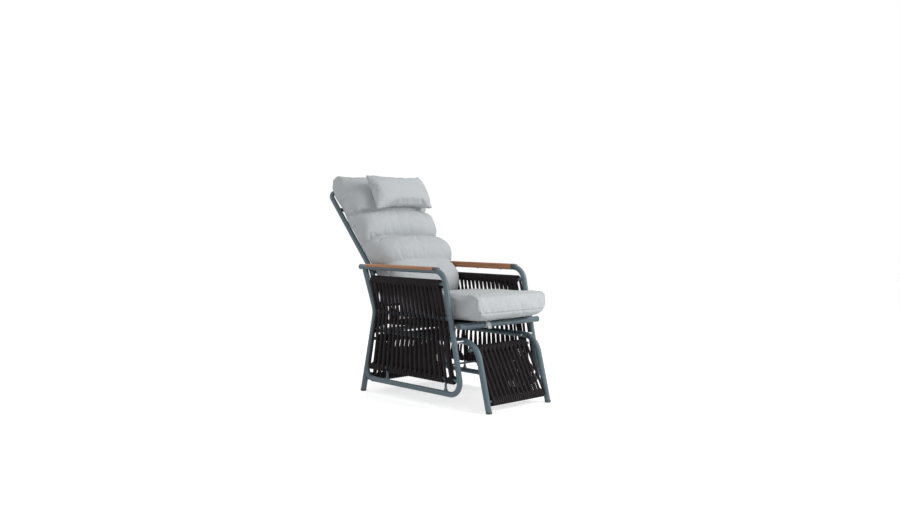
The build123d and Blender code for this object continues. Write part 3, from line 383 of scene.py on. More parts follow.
def wound_route(rope, places, heights, reach, seed, bare=()):
    """Route of a rope wound about two rods, in the panel's own axes: along the rods, out, up.

    Each turn comes up outside in two straight runs that meet at the middle place, goes over the
    upper rod and round it once more, comes straight down inside half a turn further on, and goes
    round the lower rod once more, so both rods are covered. Half turns are circles about a rod,
    and the step to the next place is a smooth one in the middle of a half turn. Turns in bare
    leave out the second round of the lower rod, where a strut stands.
    """
    low, mid, top = (np.asarray(place, float)[:, None] for place in places)
    low_z, mid_z, top_z = heights
    turns, samples = len(low), 60
    upper_round = np.ones((turns, 1))
    upper_round[-1] = 0
    lower_round = upper_round.copy()
    lower_round[list(bare)] = 0
    step_top = np.concatenate([np.diff(top, axis=0), [[0.0]]])
    step_low = np.concatenate([np.diff(low, axis=0), [[0.0]]])
    half_top = top + step_top / 2
    half_low = low + step_low * np.where(lower_round > 0, 0.5, 1.0)
    angle = np.linspace(0, np.pi, 14)[None, 1:-1]
    eased = np.clip((angle / np.pi - 0.2) / 0.6, 0, 1)
    eased = eased ** 2 * (3 - 2 * eased)

    def block(*axes):
        return np.stack(np.broadcast_arrays(*axes), -1)

    def half_turn(centre, start_side, up_side, turn, begin, end):
        out = start_side * reach * np.cos(turn)
        return block(begin + (end - begin) * eased, out, centre + up_side * reach * np.sin(turn))

    height = np.linspace(low_z, top_z, samples)[None]
    outer = np.where(height > mid_z, mid + (top - mid) * (height - mid_z) / (top_z - mid_z),
                     low + (mid - low) * (height - low_z) / (mid_z - low_z))
    inner = half_low + (half_top - half_low) * (height - low_z) / (top_z - low_z)
    outer = outer + wandering(turns, samples, rope.sway, seed)
    inner = inner + wandering(turns, samples, rope.sway, seed + 1)
    runs = [
        half_turn(low_z, -1, -1, angle, low, low),
        block(outer, reach, height),
        half_turn(top_z, 1, 1, angle, top, top),
        half_turn(top_z, -1, -1, angle * upper_round, top, half_top),
        half_turn(top_z, 1, 1, np.pi - (np.pi - angle) * upper_round, half_top, half_top),
        block(inner[:, ::-1], -reach, height[:, ::-1]),
        half_turn(low_z, -1, -1, angle * lower_round, half_low, half_low),
        half_turn(low_z, 1, 1, np.pi - (np.pi - angle) * lower_round, half_low, low + step_low)]
    whole = np.concatenate(runs, axis=1)
    per_turn = whole.shape[1]
    kept = sum(run.shape[1] for run in runs[:5]) + int(samples * rope.tail / (top_z - low_z)) + 1
    start = np.array([[low[0, 0], -reach, low_z + rope.tail]])
    return np.concatenate([start, whole.reshape(-1, 3)[:(turns - 1) * per_turn + kept]])


def side_route(rope, sign, seed):
    """Route of a side panel's rope between its arm rod and its lower rod."""
    places = [np.linspace(*ends, rope.side_turns) for ends in SIDE_PLACES]
    heights = [(low[2] + high[2]) / 2 for low, high in (LOWER_ROD, MIDDLE_ROD, ARM_ROD)]
    route = wound_route(rope, places, heights, rod_reach(rope), seed, STRUT_TURNS)
    middle = LOWER_ROD[1][0] - ROD_RADIUS
    return np.stack([sign * (middle + route[:, 1]), route[:, 0], route[:, 2]], -1)


def panel_route(rope, rods, half, turns, seed):
    """Route of a panel between a lower and an upper cross rod, given as side-view points."""
    low_rod, high_rod = rods
    run = float(np.linalg.norm(high_rod - low_rod))
    places = [np.linspace(-half, half, turns)] * 3
    route = wound_route(rope, places, (0.0, run / 2, run), rod_reach(rope), seed)
    lift = unit(high_rod - low_rod)
    flat = low_rod + route[:, 1:2] * turned(lift) + route[:, 2:] * lift
    return np.concatenate([route[:, :1], flat], -1)


def rod_reach(rope):
    """From a rod's centre to the rope's centre line."""
    return ROD_RADIUS + rope.diameter / 2 + rope.clearance


def rod_pair(rods, leans_back):
    """Side-view centres of the lower and the upper rod of a part that holds both."""
    low, high = rods[0][1:] + ROD_RADIUS, rods[1][1:] - ROD_RADIUS
    ends = (low[0], high[0]) if leans_back else (high[0], low[0])
    return np.array([ends[0], low[1]]), np.array([ends[1], high[1]])


# Slings and strap

def thick_sheet(name, front, back, keep=None):
    """Cloth or webbing with thickness: two grids of points, walled round the edge and round its holes.

    front and back are (rows, columns, 3). keep marks the cells that are cloth; a wall stands
    wherever a kept cell has no kept neighbour.
    """
    rows, columns = front.shape[:2]
    if keep is None:
        keep = np.ones((rows - 1, columns - 1), bool)
    number = np.arange(rows * columns).reshape(rows, columns)
    cell = np.stack([number[:-1, :-1], number[:-1, 1:], number[1:, 1:], number[1:, :-1]], -1)
    faces = [cell[keep], cell[keep][:, ::-1] + rows * columns]
    beside = np.pad(keep, 1)
    for corner, (row, column) in enumerate(((0, 1), (1, 2), (2, 1), (1, 0))):
        bare = keep & ~beside[row:row + rows - 1, column:column + columns - 1]
        first, second = cell[bare][:, corner], cell[bare][:, (corner + 1) % 4]
        faces.append(np.stack([second, first, first + rows * columns, second + rows * columns], -1))
    points = np.concatenate([front.reshape(-1, 3), back.reshape(-1, 3)])
    used, quads = np.unique(np.concatenate(faces), return_inverse=True)
    return new_piece(name, points[used], quads.reshape(-1, 4))


def offset_line(line, distance):
    """A flat line moved to its left by a distance."""
    return line + turned(unit(np.gradient(line, axis=0))) * distance


def across(line, x):
    """A side-view line carried from side to side: (rows, columns, 3)."""
    rows, columns = len(line), x.shape[-1]
    x = np.broadcast_to(x, (rows, columns))
    return np.concatenate([x[..., None], np.broadcast_to(line[:, None], (rows, columns, 2))], -1)


def along_rails(line, places):
    """A line of (across, height) carried along the seat rails, from their hinge ends forward."""
    rail_way = unit(RAIL_FRONT - HINGE)
    flat = HINGE + places[None, :, None] * rail_way - line[:, None, 1:] * turned(rail_way)
    x = np.broadcast_to(line[:, None, :1], (*flat.shape[:2], 1))
    return np.concatenate([x, flat], -1)


def round_bar_line(centre, radius, start, end, count):
    """Side-view arc about a bar, from one angle to another, in radians from +Y up to +Z."""
    angle = np.linspace(start, end, count)
    return centre + radius * np.stack([np.cos(angle), np.sin(angle)], -1)


def sling_line(bars, hem, gap):
    """Side-view line of a sling: hem, round the first bar, over all, round the last, hem.

    bars holds the first, any middle and the last bar as (centre, radius). The sling lies on the
    side to the left of the way from first to last.
    """
    (first, first_r), (last, last_r) = bars[0], bars[-1]
    first_r, last_r = first_r + gap, last_r + gap
    out_way = unit(bars[1][0] - first) if len(bars) > 2 else unit(last - first)
    in_way = unit(last - bars[-2][0]) if len(bars) > 2 else out_way
    start_left = math.atan2(out_way[0], -out_way[1])
    end_left = math.atan2(in_way[0], -in_way[1])
    turn = np.pi * 0.93
    over_first = round_bar_line(first, first_r, start_left + turn, start_left, 22)
    over_last = round_bar_line(last, last_r, end_left, end_left - turn, 22)
    left_out, left_in = turned(out_way), turned(in_way)
    hem_start = first + out_way * (first_r + hem) + left_out * (first_r - 2.1 * gap)
    hem_end = last - in_way * (last_r + hem) + left_in * (last_r - 2.1 * gap)
    middle = [centre + unit(left_out + left_in) * (radius + gap) for centre, radius in bars[1:-1]]
    corners = np.array([hem_start, *over_first, *middle, *over_last, hem_end])
    travelled = travelled_along(corners)
    places = np.union1d(travelled, np.arange(0, travelled[-1], 0.012))
    return np.stack([np.interp(places, travelled, corners[:, axis]) for axis in (0, 1)], -1)


# Cushions

def back_tube():
    """The back tube's line, two straight runs joined by an arc.

    Gives the ways of both runs, the way from the arc's centre to the bend, that centre, half the
    arc's angle, and the lengths of half the arc and of the run that it cuts off.
    """
    low_way, up_way = unit(BACK_BEND - HINGE), unit(BACK_TOP - BACK_BEND)
    mitre = unit(turned(low_way) + turned(up_way))
    half_turn = math.acos(float(low_way @ up_way)) / 2
    centre = BACK_BEND - mitre * TUBE_BEND_R / math.cos(half_turn)
    arc, run = TUBE_BEND_R * half_turn, TUBE_BEND_R * math.tan(half_turn)
    return low_way, up_way, mitre, centre, half_turn, arc, run


def back_place(up, out):
    """Side-view points from places along the back tube and out from it, as whole arrays.

    Places near the bend fan out.
    """
    low_way, up_way, mitre, centre, half_turn, arc, _ = back_tube()
    up, out = (np.asarray(values, float)[..., None] for values in np.broadcast_arrays(up, out))
    turn = np.clip(up / TUBE_BEND_R, -half_turn, half_turn)
    fan = np.cos(turn) * mitre - np.sin(turn) * turned(mitre)
    over = np.where(up > arc, up - arc, np.where(up < -arc, up + arc, 0.0))
    way = np.where(up > 0, up_way, low_way)
    return centre + fan * (TUBE_BEND_R + out) + way * over


def back_coordinates(points):
    """Place up along the back tube and out from it of points, the reverse of back_place."""
    low_way, up_way, mitre, centre, half_turn, arc, run = back_tube()
    from_centre, from_bend = points[:, 1:] - centre, points[:, 1:] - BACK_BEND
    angle = np.arctan2(from_centre @ -turned(mitre), from_centre @ mitre)
    above, below = angle > half_turn, angle < -half_turn
    up = np.where(above, from_bend @ up_way - run + arc,
                  np.where(below, from_bend @ low_way + run - arc, angle * TUBE_BEND_R))
    out = np.where(above, from_bend @ turned(up_way), np.where(
        below, from_bend @ turned(low_way), np.linalg.norm(from_centre, axis=1) - TUBE_BEND_R))
    return up, out


def lobe(start, crown, end, fullness, count):
    """A bulging curve from start to end: chord + height (1 - |2w - 1|^fullness), highest at the crown."""
    start, crown, end = (np.array(p, float) for p in (start, crown, end))
    chord = end - start
    normal = unit(turned(chord))
    height = (crown - start) @ normal
    peak = np.clip((crown - start) @ chord / (chord @ chord), 0.2, 0.8)
    share = (1 - np.cos(np.linspace(0, np.pi, count))) / 2
    warped = share ** (math.log(0.5) / math.log(peak))
    bulge = height * (1 - np.abs(2 * warped - 1) ** fullness)
    return start + share[:, None] * chord + bulge[:, None] * normal


def side_places(columns):
    """Places from side to side, from -1 to 1, closer together at the sides."""
    place = np.sin(np.linspace(-np.pi / 2, np.pi / 2, columns))
    return (np.sign(place) * np.abs(place) ** 0.55)[None]


def rounded(place, squareness):
    """Thickness left at a place from side to side: |x|^n + t^n = 1."""
    return (1 - np.abs(place) ** squareness) ** (1 / squareness)


def near(values, centre, width):
    """A smooth hump of height one about a value: exp(-((v - c) / w)^2)."""
    return np.exp(-((values - centre) / width) ** 2)


def back_half_at(cushion, up):
    """Half width of the back cushion: over the arms it is wider and lies on the back tube."""
    rise = np.clip((up + 0.02) / 0.09, 0, 1)
    overlap = 0.0065 + (cushion.back_overlap - 0.0065) * rise ** 2 * (3 - 2 * rise)
    return cushion.back_half + overlap - cushion.head_narrowing * near(up, cushion.back_top - 0.165, 0.080)


def from_seam(seam, up, out):
    """Distance of places on the back cushion from one of its seams, on the front and the flanks."""
    climb = seam[2] * np.clip(seam[1] - 0.008 - out, 0, 0.12)
    return np.where(out > 0.026, np.abs(up - seam[0] - climb), 1.0)


def back_cushion_form(cushion, inset):
    """Closed surface of the back cushion: four stuffed channels over the bend of the back frame.

    The outline runs up the front in four lobes, over the top, and down the back. From side to side
    its thickness follows a rounded square, and at the seams the sides are drawn in.
    """
    top, drop, under = cushion.back_top - inset, -cushion.back_drop + inset, BACK_UNDERSIDE + inset
    seams = [np.array(seam[:2]) - (0, inset) for seam in BACK_SEAMS]
    front_low, front_top = np.array([drop, BACK_LOW_OUT - inset]), np.array([top, BACK_TOP_OUT - inset])
    ends = [front_low, *seams[::-1], front_top]
    outline = np.concatenate([
        lobe((drop, under), (drop - 0.008, 0.075), front_low, 2.4, 20)[:-1],
        *(lobe(start, (crown, high - inset), end, fullness, count)[:-1]
          for start, end, (crown, high, fullness, count) in zip(ends, ends[1:], BACK_CHANNELS)),
        lobe(front_top, (top + 0.010, 0.06), (top - 0.012, under + 0.008), 2.2, 24)[:-1],
        np.stack([np.linspace(top - 0.012, drop, 130), np.full(130, under)], -1)[:-1]])
    up, out = outline[:, :1], outline[:, 1:]
    place = side_places(96)
    edge, rim = np.abs(place) ** 5, np.abs(place) ** 12
    core = 0.046
    front = np.clip((out - core) / 0.03, 0, 1)
    left = np.where(out > core, rounded(place, 3.9), rounded(place, 18.0))
    drawn = sum(near(up, seam[0], 0.019) for seam in seams[:2]) + 0.55 * near(up, seams[2][0], 0.018)
    spread = core + (out - core) * left * (1 - 0.34 * drawn * edge * front)
    spread = spread + 0.020 * near(up, top, 0.045) * edge * front
    swell = 0.004 * (1 - 1.9 * drawn) * front
    x = (back_half_at(cushion, up) - inset + swell) * place
    ear = near(up, top, 0.035) * rim
    middle = (top + drop) / 2
    length = middle + (up - middle) * (1 - 0.020 * (1 - edge)) + 0.020 * ear
    behind_seam = np.maximum(seams[0][1] - spread, 0)
    length = length + HEAD_SEAM[2] * behind_seam * front * near(up, seams[0][0], 0.075)
    drawn_in = 0.012 * near(up, top - 0.085, 0.05) * (1 - rim) + 0.022 * near(up, top, 0.05)
    x = x - np.sign(place) * edge * drawn_in
    flat = back_place(length, spread)
    return np.concatenate([x[..., None], flat], -1)


def seat_line_at(y):
    """Height of the plane that the seat cushion rests on, parallel to the seat rails."""
    way = unit(RAIL_FRONT - HINGE)
    return HINGE[1] + (y - HINGE[0]) * way[1] / way[0] + SEAT_RISE / abs(way[0])


def seat_cushion_form(cushion, inset):
    """Closed surface of the seat cushion: a boxed cushion with a nose that slopes in below.

    The outline runs forward underneath, up the nose to the front edge, back over a low crown and
    down the rear end. Its thickness from side to side follows a rounded square.
    """
    rear = SEAT_REAR_Y - inset
    low_back, low_front = (np.array([y, seat_line_at(y) + inset]) for y in (rear, SEAT_UNDER_Y + inset))
    nose = np.array(SEAT_NOSE) + (inset, 0)
    brow = np.array(SEAT_EDGE) + (inset * 0.8, -inset)
    top_back = np.array([rear - 0.006, seat_line_at(rear) + cushion.seat_depth - inset - 0.006])
    crown = (brow + top_back) / 2 + (-0.02, 0.006)
    back_crown = (top_back + low_back) / 2 - 0.006 * turned(unit(low_back - top_back))
    turn = np.linspace(0, np.pi / 2, 26)[:, None]
    ahead, lifted = np.sin(turn), np.cos(turn)
    below = np.concatenate([low_front[0] + (nose[0] - low_front[0]) * ahead ** 0.75,
                            nose[1] + (low_front[1] - nose[1]) * lifted ** 0.75], 1)
    above_nose = np.concatenate([brow[0] + (nose[0] - brow[0]) * lifted ** 0.85,
                                 nose[1] + (brow[1] - nose[1]) * ahead ** 0.85], 1)
    outline = np.concatenate([
        lobe(low_back, (low_back + low_front) / 2, low_front, 2, 60)[:-1], below[:-1], above_nose[:-1],
        lobe(brow, crown, top_back, 2.6, 80)[:-1], lobe(top_back, back_crown, low_back, 2.2, 26)[:-1]])
    y, z = outline[:, :1], outline[:, 1:]
    place = side_places(96)
    edge, rim = np.abs(place) ** 6, np.abs(place) ** 16
    core = seat_line_at(y) + cushion.seat_depth * 0.52
    middle = (rear + nose[0]) / 2
    above = np.clip((z - core) / 0.04, -1, 1)
    height = core + (z - core) * np.where(z > core, rounded(place, 16.0), rounded(place, 7.0))
    front_corner = near(y, nose[0] + 0.02, 0.05) * rim
    height = height + 0.009 * front_corner * (above > 0) * above + 0.020 * front_corner * (above < 0)
    height = height - 0.020 * near(y, nose[0] + 0.13, 0.06) * edge * np.clip(above, 0, 1)
    depth = middle + (y - middle) * (1 - 0.02 * edge) - 0.004 * front_corner
    x = (cushion.seat_half - inset) * place * (1 - 0.016 * (1 - near(y, nose[0], 0.12)))
    return np.stack([x, depth, height], -1)


def pillow_place(x, up, out):
    """Points from the pillow's own axes: across, up its face and out of it, leaning back."""
    flat = PILLOW_CENTRE + up[..., None] * PILLOW_LIFT + out[..., None] * turned(PILLOW_LIFT)
    return np.concatenate([x[..., None], flat], -1)


def pillow_form(cushion, inset):
    """Closed surface of the pillow: two faces out = +-T sqrt((1 - |u|^p)(1 - |v|^q)) sewn at the edge.

    Between its four pointed corners the sewn edge is drawn in.
    """
    rows, columns = 60, 100
    v = np.sin(np.linspace(-np.pi / 2, np.pi / 2, rows))[:, None]
    u = np.sin(np.linspace(-np.pi / 2, np.pi / 2, columns))[None]
    half_width, half_height = (cushion.pillow_width - inset) / 2, (cushion.pillow_height - inset) / 2
    x = half_width * u * (1 - 0.060 * (1 - v ** 2))
    x = x - 0.030 * np.clip(u, 0, 1) ** 2 * np.clip(v, 0, 1) ** 2
    up = half_height * v * (1 - 0.095 * (1 - u ** 4))
    up = up - 0.010 * np.clip(-u, 0, 1) ** 2 * np.clip(-v, 0, 1) ** 2
    thick = (cushion.pillow_thickness / 2 - inset) * (
        (1 - np.abs(u) ** 3.4) * (1 - np.abs(v) ** 3.0)) ** 0.5 + 0.0015
    x, up, thick = np.broadcast_arrays(x, up, thick)
    return np.concatenate([pillow_place(x, up, thick), pillow_place(x, up, -thick)[:, ::-1]], axis=1)


def closed_form(name, points):
    """A closed mesh from a grid that goes round: rows or columns round, ends shut flat."""
    rows, columns = points.shape[:2]
    return new_piece(name, points, grid_quads(rows, columns, True), end_caps(rows, columns))


def remesh(piece, voxel):
    """Remakes a closed mesh from voxels of one size, with the result applied."""
    modifier = piece.modifiers.new("remesh", "REMESH")
    modifier.mode = "VOXEL"
    modifier.voxel_size = voxel
    apply_modifiers(piece)


def apply_modifiers(piece):
    """Writes the evaluated mesh back into the piece and clears its modifiers."""
    bpy.context.view_layer.update()
    evaluated = piece.evaluated_get(bpy.context.evaluated_depsgraph_get())
    mesh = bpy.data.meshes.new_from_object(evaluated)
    old = piece.data
    piece.modifiers.clear()
    piece.data = mesh
    bpy.data.meshes.remove(old)
    piece.data.polygons.foreach_set("use_smooth", np.ones(len(piece.data.polygons), bool))


def stuff(piece, pressure, cap, slack, pinned):
    """Fills a cushion by cloth simulation: pressure from inside, no gravity, moves capped.

    slack is the share of cloth beyond the form's own size, which ends up in folds. pinned gives
    for each point how firmly it is held, from 0 to 1.
    """
    before = points_of(piece)
    group = piece.vertex_groups.new(name="held")
    for level in np.unique(np.round(pinned, 1)):
        if level > 0:
            group.add(np.flatnonzero(np.round(pinned, 1) == level).tolist(), float(level), "REPLACE")
    modifier = piece.modifiers.new("cloth", "CLOTH")
    cloth = modifier.settings
    for key, value in CLOTH_SETTINGS.items():
        setattr(cloth, key, value)
    cloth.uniform_pressure_force = pressure
    cloth.effector_weights.gravity = 0
    cloth.vertex_group_mass = "held"
    cloth.shrink_min = -slack
    modifier.collision_settings.use_collision = False
    modifier.collision_settings.use_self_collision = False
    for number in range(1, CLOTH_FRAMES + 1):
        bpy.context.scene.frame_set(number)
    evaluated = piece.evaluated_get(bpy.context.evaluated_depsgraph_get())
    move = vertex_values(evaluated.data, "co") - before
    size = np.linalg.norm(move, axis=1, keepdims=True)
    move *= np.minimum(1.0, cap / np.maximum(size, 1e-9))
    piece.modifiers.clear()
    piece.vertex_groups.clear()
    bpy.context.scene.frame_set(1)
    set_points(piece, before + move)


def subdivide(piece):
    """One smooth subdivision, applied."""
    modifier = piece.modifiers.new("subdivide", "SUBSURF")
    modifier.levels = 1
    modifier.render_levels = 1
    apply_modifiers(piece)


def cushion_piece(name, form, pressure, cap, slack, voxel, held):
    """A stuffed cushion: its form remeshed, filled by simulation and subdivided once."""
    piece = closed_form(name, form)
    remesh(piece, voxel)
    stuff(piece, pressure, cap, slack, held(points_of(piece)))
    subdivide(piece)
    return piece


def finish_cushion(piece, node, body):
    """Puts a cushion in the place of its part of the frame."""
    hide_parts(node)
    finish_piece(piece, "cushion_cloth", body)


def waves(points, length, seed):
    """Slow seeded unevenness of a cloth surface, between -1 and 1: a sum of sines in all directions."""
    rng = np.random.default_rng(seed)
    ways = unit(rng.normal(size=(7, 3)))
    phase = rng.uniform(0, 2 * np.pi, 7)
    scale = 2 * np.pi / (length * rng.uniform(0.6, 1.5, 7))
    return np.sin(points @ (ways * scale[:, None]).T + phase).mean(axis=1) * 1.8


def fan_folds(points, end, way, reach, count, seed):
    """Pleats that fan out from a seam's end, with sharp valleys: 2 |sin(turn / 2)|^0.7 - 1.

    turn = count * angle + phase; way points from the end along the seam, and the angle is measured
    about it. Strength is (r / 9 mm) exp(-r / reach), at most one.
    """
    rng = np.random.default_rng(seed)
    away = points - end
    distance = np.linalg.norm(away, axis=1)
    angle = np.arccos(np.clip(away @ way / np.maximum(distance, 1e-9), -1, 1))
    side = np.sign(away @ np.cross(way, (1.0, 0.0, 0.0)) + away[:, 2] * 1e-3)
    turn = count * angle * side + rng.uniform(0, 6.28) + 1.5 * distance / reach
    pleat = 2 * np.abs(np.sin(turn / 2)) ** 0.7 - 1
    return pleat * np.clip(distance / 0.009, 0, 1) * np.exp(-distance / reach)


def sew(piece, cushion, seams, gathers_along, extra, seed):
    """Draws seams into a cushion, raises small folds beside them and adds an extra height.

    seams is a list of (distances of the points to a seam, share of the depth, share of the gathers).
    gathers_along is each point's place along the seams. Moves are along the normal:
    -depth exp(-(d / 3.4 mm)^2) + gathers, which are three sine waves along the seam of seeded
    phase that fade at 14, 26 and 45 mm from it.
    """
    rng = np.random.default_rng(seed)
    points, normals = points_of(piece), vertex_values(piece.data, "normal")
    uneven = waves(points, 0.07, seed)
    move = 0.0014 * waves(points, 0.16, seed + 1) + extra
    for distance, depth_share, gather_share in seams:
        folds = 0
        for period, reach, share in GATHERS:
            turn = 2 * np.pi * gathers_along / period + 2.4 * uneven + rng.uniform(0, 6.28)
            folds = folds + share * np.sin(turn) * np.exp(-distance / reach)
        clear = 1 - np.exp(-(distance / 0.005) ** 2)
        move = move - depth_share * cushion.seam_depth * np.exp(-(distance / 0.0034) ** 2)
        move = move + gather_share * cushion.gather * clear * folds
    set_points(piece, points + move[:, None] * normals)


# Materials

def feed(tree, socket, source):
    """Links a socket to an output, or gives it a value."""
    if hasattr(source, "is_output"):
        tree.links.new(source, socket)
    else:
        socket.default_value = source


def add_node(tree, kind, inputs=None, **values):
    """A shader node with its settings; inputs holds a value or an output for each named socket."""
    node = tree.nodes.new("ShaderNode" + kind)
    for key, value in values.items():
        setattr(node, key, value)
    for label, source in (inputs or {}).items():
        feed(tree, node.inputs[label], source)
    return node


def calc(tree, operation, *values):
    """A math node; values are numbers or output sockets."""
    node = add_node(tree, "Math", operation=operation)
    for socket, value in zip(node.inputs, values):
        feed(tree, socket, value)
    return node.outputs[0]


def new_group(name, scales, outputs):
    """A shader node group with a vector, named scales and float outputs."""
    group = bpy.data.node_groups.new(name, "ShaderNodeTree")
    group.interface.new_socket(name="Vector", in_out="INPUT", socket_type="NodeSocketVector")
    for label, default in scales.items():
        socket = group.interface.new_socket(name=label, in_out="INPUT", socket_type="NodeSocketFloat")
        socket.default_value = default
    for label in outputs:
        group.interface.new_socket(name=label, in_out="OUTPUT", socket_type="NodeSocketFloat")
    entry, leave = group.nodes.new("NodeGroupInput"), group.nodes.new("NodeGroupOutput")
    return group, entry.outputs, leave.inputs


def mottle_group():
    """Uneven tone: a large noise from 0 to 1, and a fine noise as the height of a grain."""
    group, given, result = new_group("Uneven tone", {"Patch Scale": 6.0, "Grain Scale": 900.0},
                                     ("Tone", "Grain"))
    patch = add_node(group, "TexNoise", {"Vector": given["Vector"], "Scale": given["Patch Scale"],
                                         "Detail": 4.0, "Roughness": 0.55})
    grain = add_node(group, "TexNoise", {"Vector": given["Vector"], "Scale": given["Grain Scale"],
                                         "Detail": 2.0})
    group.links.new(patch.outputs["Fac"], result["Tone"])
    group.links.new(grain.outputs["Fac"], result["Grain"])
    return group


def crossing(group, first, second):
    """Height of two sets of yarns that pass over and under each other.

    first and second count the yarns of each set. Where the sum of their floors is even the first
    set is on top. Height is half a sine across the yarn on top.
    """
    floors = calc(group, "ADD", calc(group, "FLOOR", first), calc(group, "FLOOR", second))
    ridges = [calc(group, "ABSOLUTE", calc(group, "SINE", calc(group, "MULTIPLY", count, math.pi)))
              for count in (first, second)]
    mixed = add_node(group, "Mix", {"Factor": calc(group, "PINGPONG", floors, 1.0), "A": ridges[0],
                                    "B": ridges[1]}, data_type="FLOAT")
    return mixed.outputs["Result"]


def braid_group():
    """Round braid on a rope's UV map: u N + v M and u N - v M count the yarns of its two sets."""
    group, given, result = new_group("Braid", {"Yarns": 8.0, "Slant": 2.6}, ("Height",))
    parts = add_node(group, "SeparateXYZ", {"Vector": given["Vector"]})
    round_count = calc(group, "MULTIPLY", parts.outputs["X"], given["Yarns"])
    along_count = calc(group, "MULTIPLY", parts.outputs["Y"], given["Slant"])
    height = crossing(group, calc(group, "ADD", round_count, along_count),
                      calc(group, "SUBTRACT", round_count, along_count))
    group.links.new(calc(group, "POWER", height, 0.6), result["Height"])
    return group


def weave_group():
    """Plain weave on a vector: its threads are counted along x and along z - y."""
    group, given, result = new_group("Plain weave", {"Threads": 700.0}, ("Height",))
    parts = add_node(group, "SeparateXYZ", {"Vector": given["Vector"]})
    slope = calc(group, "SUBTRACT", parts.outputs["Z"], parts.outputs["Y"])
    counts = [calc(group, "MULTIPLY", way, given["Threads"]) for way in (parts.outputs["X"], slope)]
    group.links.new(crossing(group, *counts), result["Height"])
    return group


def new_material(name, roughness, **shader_values):
    """A material with a Principled shader; returns material, tree, shader and coordinates."""
    material = bpy.data.materials.new(name)
    material.use_nodes = True
    tree = material.node_tree
    shader = next(n for n in tree.nodes if n.type == "BSDF_PRINCIPLED")
    shader.inputs["Roughness"].default_value = roughness
    for label, value in shader_values.items():
        shader.inputs[label.replace("_", " ").title().replace("Ior", "IOR")].default_value = value
    return material, tree, shader, add_node(tree, "TexCoord").outputs


def use_group(tree, group, **inputs):
    """Outputs of a node group in a material, with its own values; names have _ for a blank."""
    node = add_node(tree, "Group", node_tree=group)
    for label, source in inputs.items():
        feed(tree, node.inputs[label.replace("_", " ")], source)
    return node.outputs


def tone_between(tree, factor, dark, light, shader):
    """Base colour that goes from a dark to a light colour by a factor."""
    mix = add_node(tree, "Mix", {"Factor": factor, "A": (*dark, 1.0), "B": (*light, 1.0)}, data_type="RGBA")
    tree.links.new(mix.outputs["Result"], shader.inputs["Base Color"])


def shaded(colour, factor):
    """A colour made darker or lighter by a factor."""
    return tuple(min(1.0, channel * factor) for channel in colour)


def bump(tree, height, distance, strength, shader):
    """A Bump node from a height to the shader's normal."""
    node = add_node(tree, "Bump", {"Height": height, "Distance": distance, "Strength": strength})
    tree.links.new(node.outputs["Normal"], shader.inputs["Normal"])


def spread_factor(tree, value, low=0.3, high=0.7, to_low=0.0, to_high=1.0):
    """A narrow range of a value, the middle of a noise as it stands, spread to another range."""
    node = add_node(tree, "MapRange", {"Value": value, "From Min": low, "From Max": high,
                                       "To Min": to_low, "To Max": to_high})
    return node.outputs["Result"]


def plain_material(name, colour, shades, mottle, scales, relief, roughness, **shader_values):
    """A plain finish of slightly uneven tone with a fine grain: coat, plastic or steel.

    shades are the darkest and lightest tone, scales those of patches and grain, and relief is the
    depth and strength of the grain.
    """
    material, tree, shader, coordinates = new_material(name, roughness, **shader_values)
    uneven = use_group(tree, mottle, Vector=coordinates["Object"], Patch_Scale=scales[0],
                       Grain_Scale=scales[1])
    dark, light = (shaded(colour, shade) for shade in shades)
    tone_between(tree, spread_factor(tree, uneven["Tone"]), dark, light, shader)
    bump(tree, uneven["Grain"], *relief, shader)
    return material, tree, shader, uneven


def powder_material(finish, mottle):
    """Satin powder coat: fine orange-peel grain, slightly uneven tone and gloss."""
    material, tree, shader, uneven = plain_material(
        "slate_powder_coat", finish.powder, (0.88, 1.14), mottle, (7.0, 1400.0), (0.0002, 0.22), 0.42)
    rough = spread_factor(tree, uneven["Tone"], to_low=0.36, to_high=0.50)
    tree.links.new(rough, shader.inputs["Roughness"])
    return material


def teak_material(finish):
    """Oiled teak: long dark grain lines along the arm, wavy figure, fine pores."""
    material, tree, shader, coordinates = new_material("oiled_teak", 0.46)
    stretched = add_node(tree, "Mapping", {"Vector": coordinates["Object"], "Scale": (1.0, 0.055, 1.0)})

    def noise(scale, detail, **more):
        return add_node(tree, "TexNoise", {"Vector": stretched.outputs["Vector"], "Scale": scale,
                                           "Detail": detail, **more}).outputs["Fac"]

    lines = spread_factor(tree, noise(150.0, 5.0, Roughness=0.62, Distortion=0.6), 0.36, 0.60)
    broad = spread_factor(tree, noise(34.0, 3.0, Distortion=1.2), 0.32, 0.68)
    both = calc(tree, "ADD", calc(tree, "MULTIPLY", lines, 0.62), calc(tree, "MULTIPLY", broad, 0.38))
    tone_between(tree, both, finish.wood_dark, shaded(finish.wood, 1.08), shader)
    pores = calc(tree, "MULTIPLY", noise(1100.0, 1.0), 0.7)
    bump(tree, calc(tree, "ADD", both, pores), 0.0003, 0.35, shader)
    return material


def plastic_material(finish, mottle):
    """Moulded plastic with a fine matt texture."""
    return plain_material("moulded_plastic", finish.plastic, (0.85, 1.2), mottle, (20.0, 1800.0),
                          (0.0002, 0.3), 0.55)[0]


def steel_material(finish, mottle):
    """Stainless steel with a faint grain."""
    return plain_material("stainless_steel", finish.steel, (0.8, 1.15), mottle, (60.0, 3000.0),
                          (0.0001, 0.2), 0.34, metallic=1.0)[0]


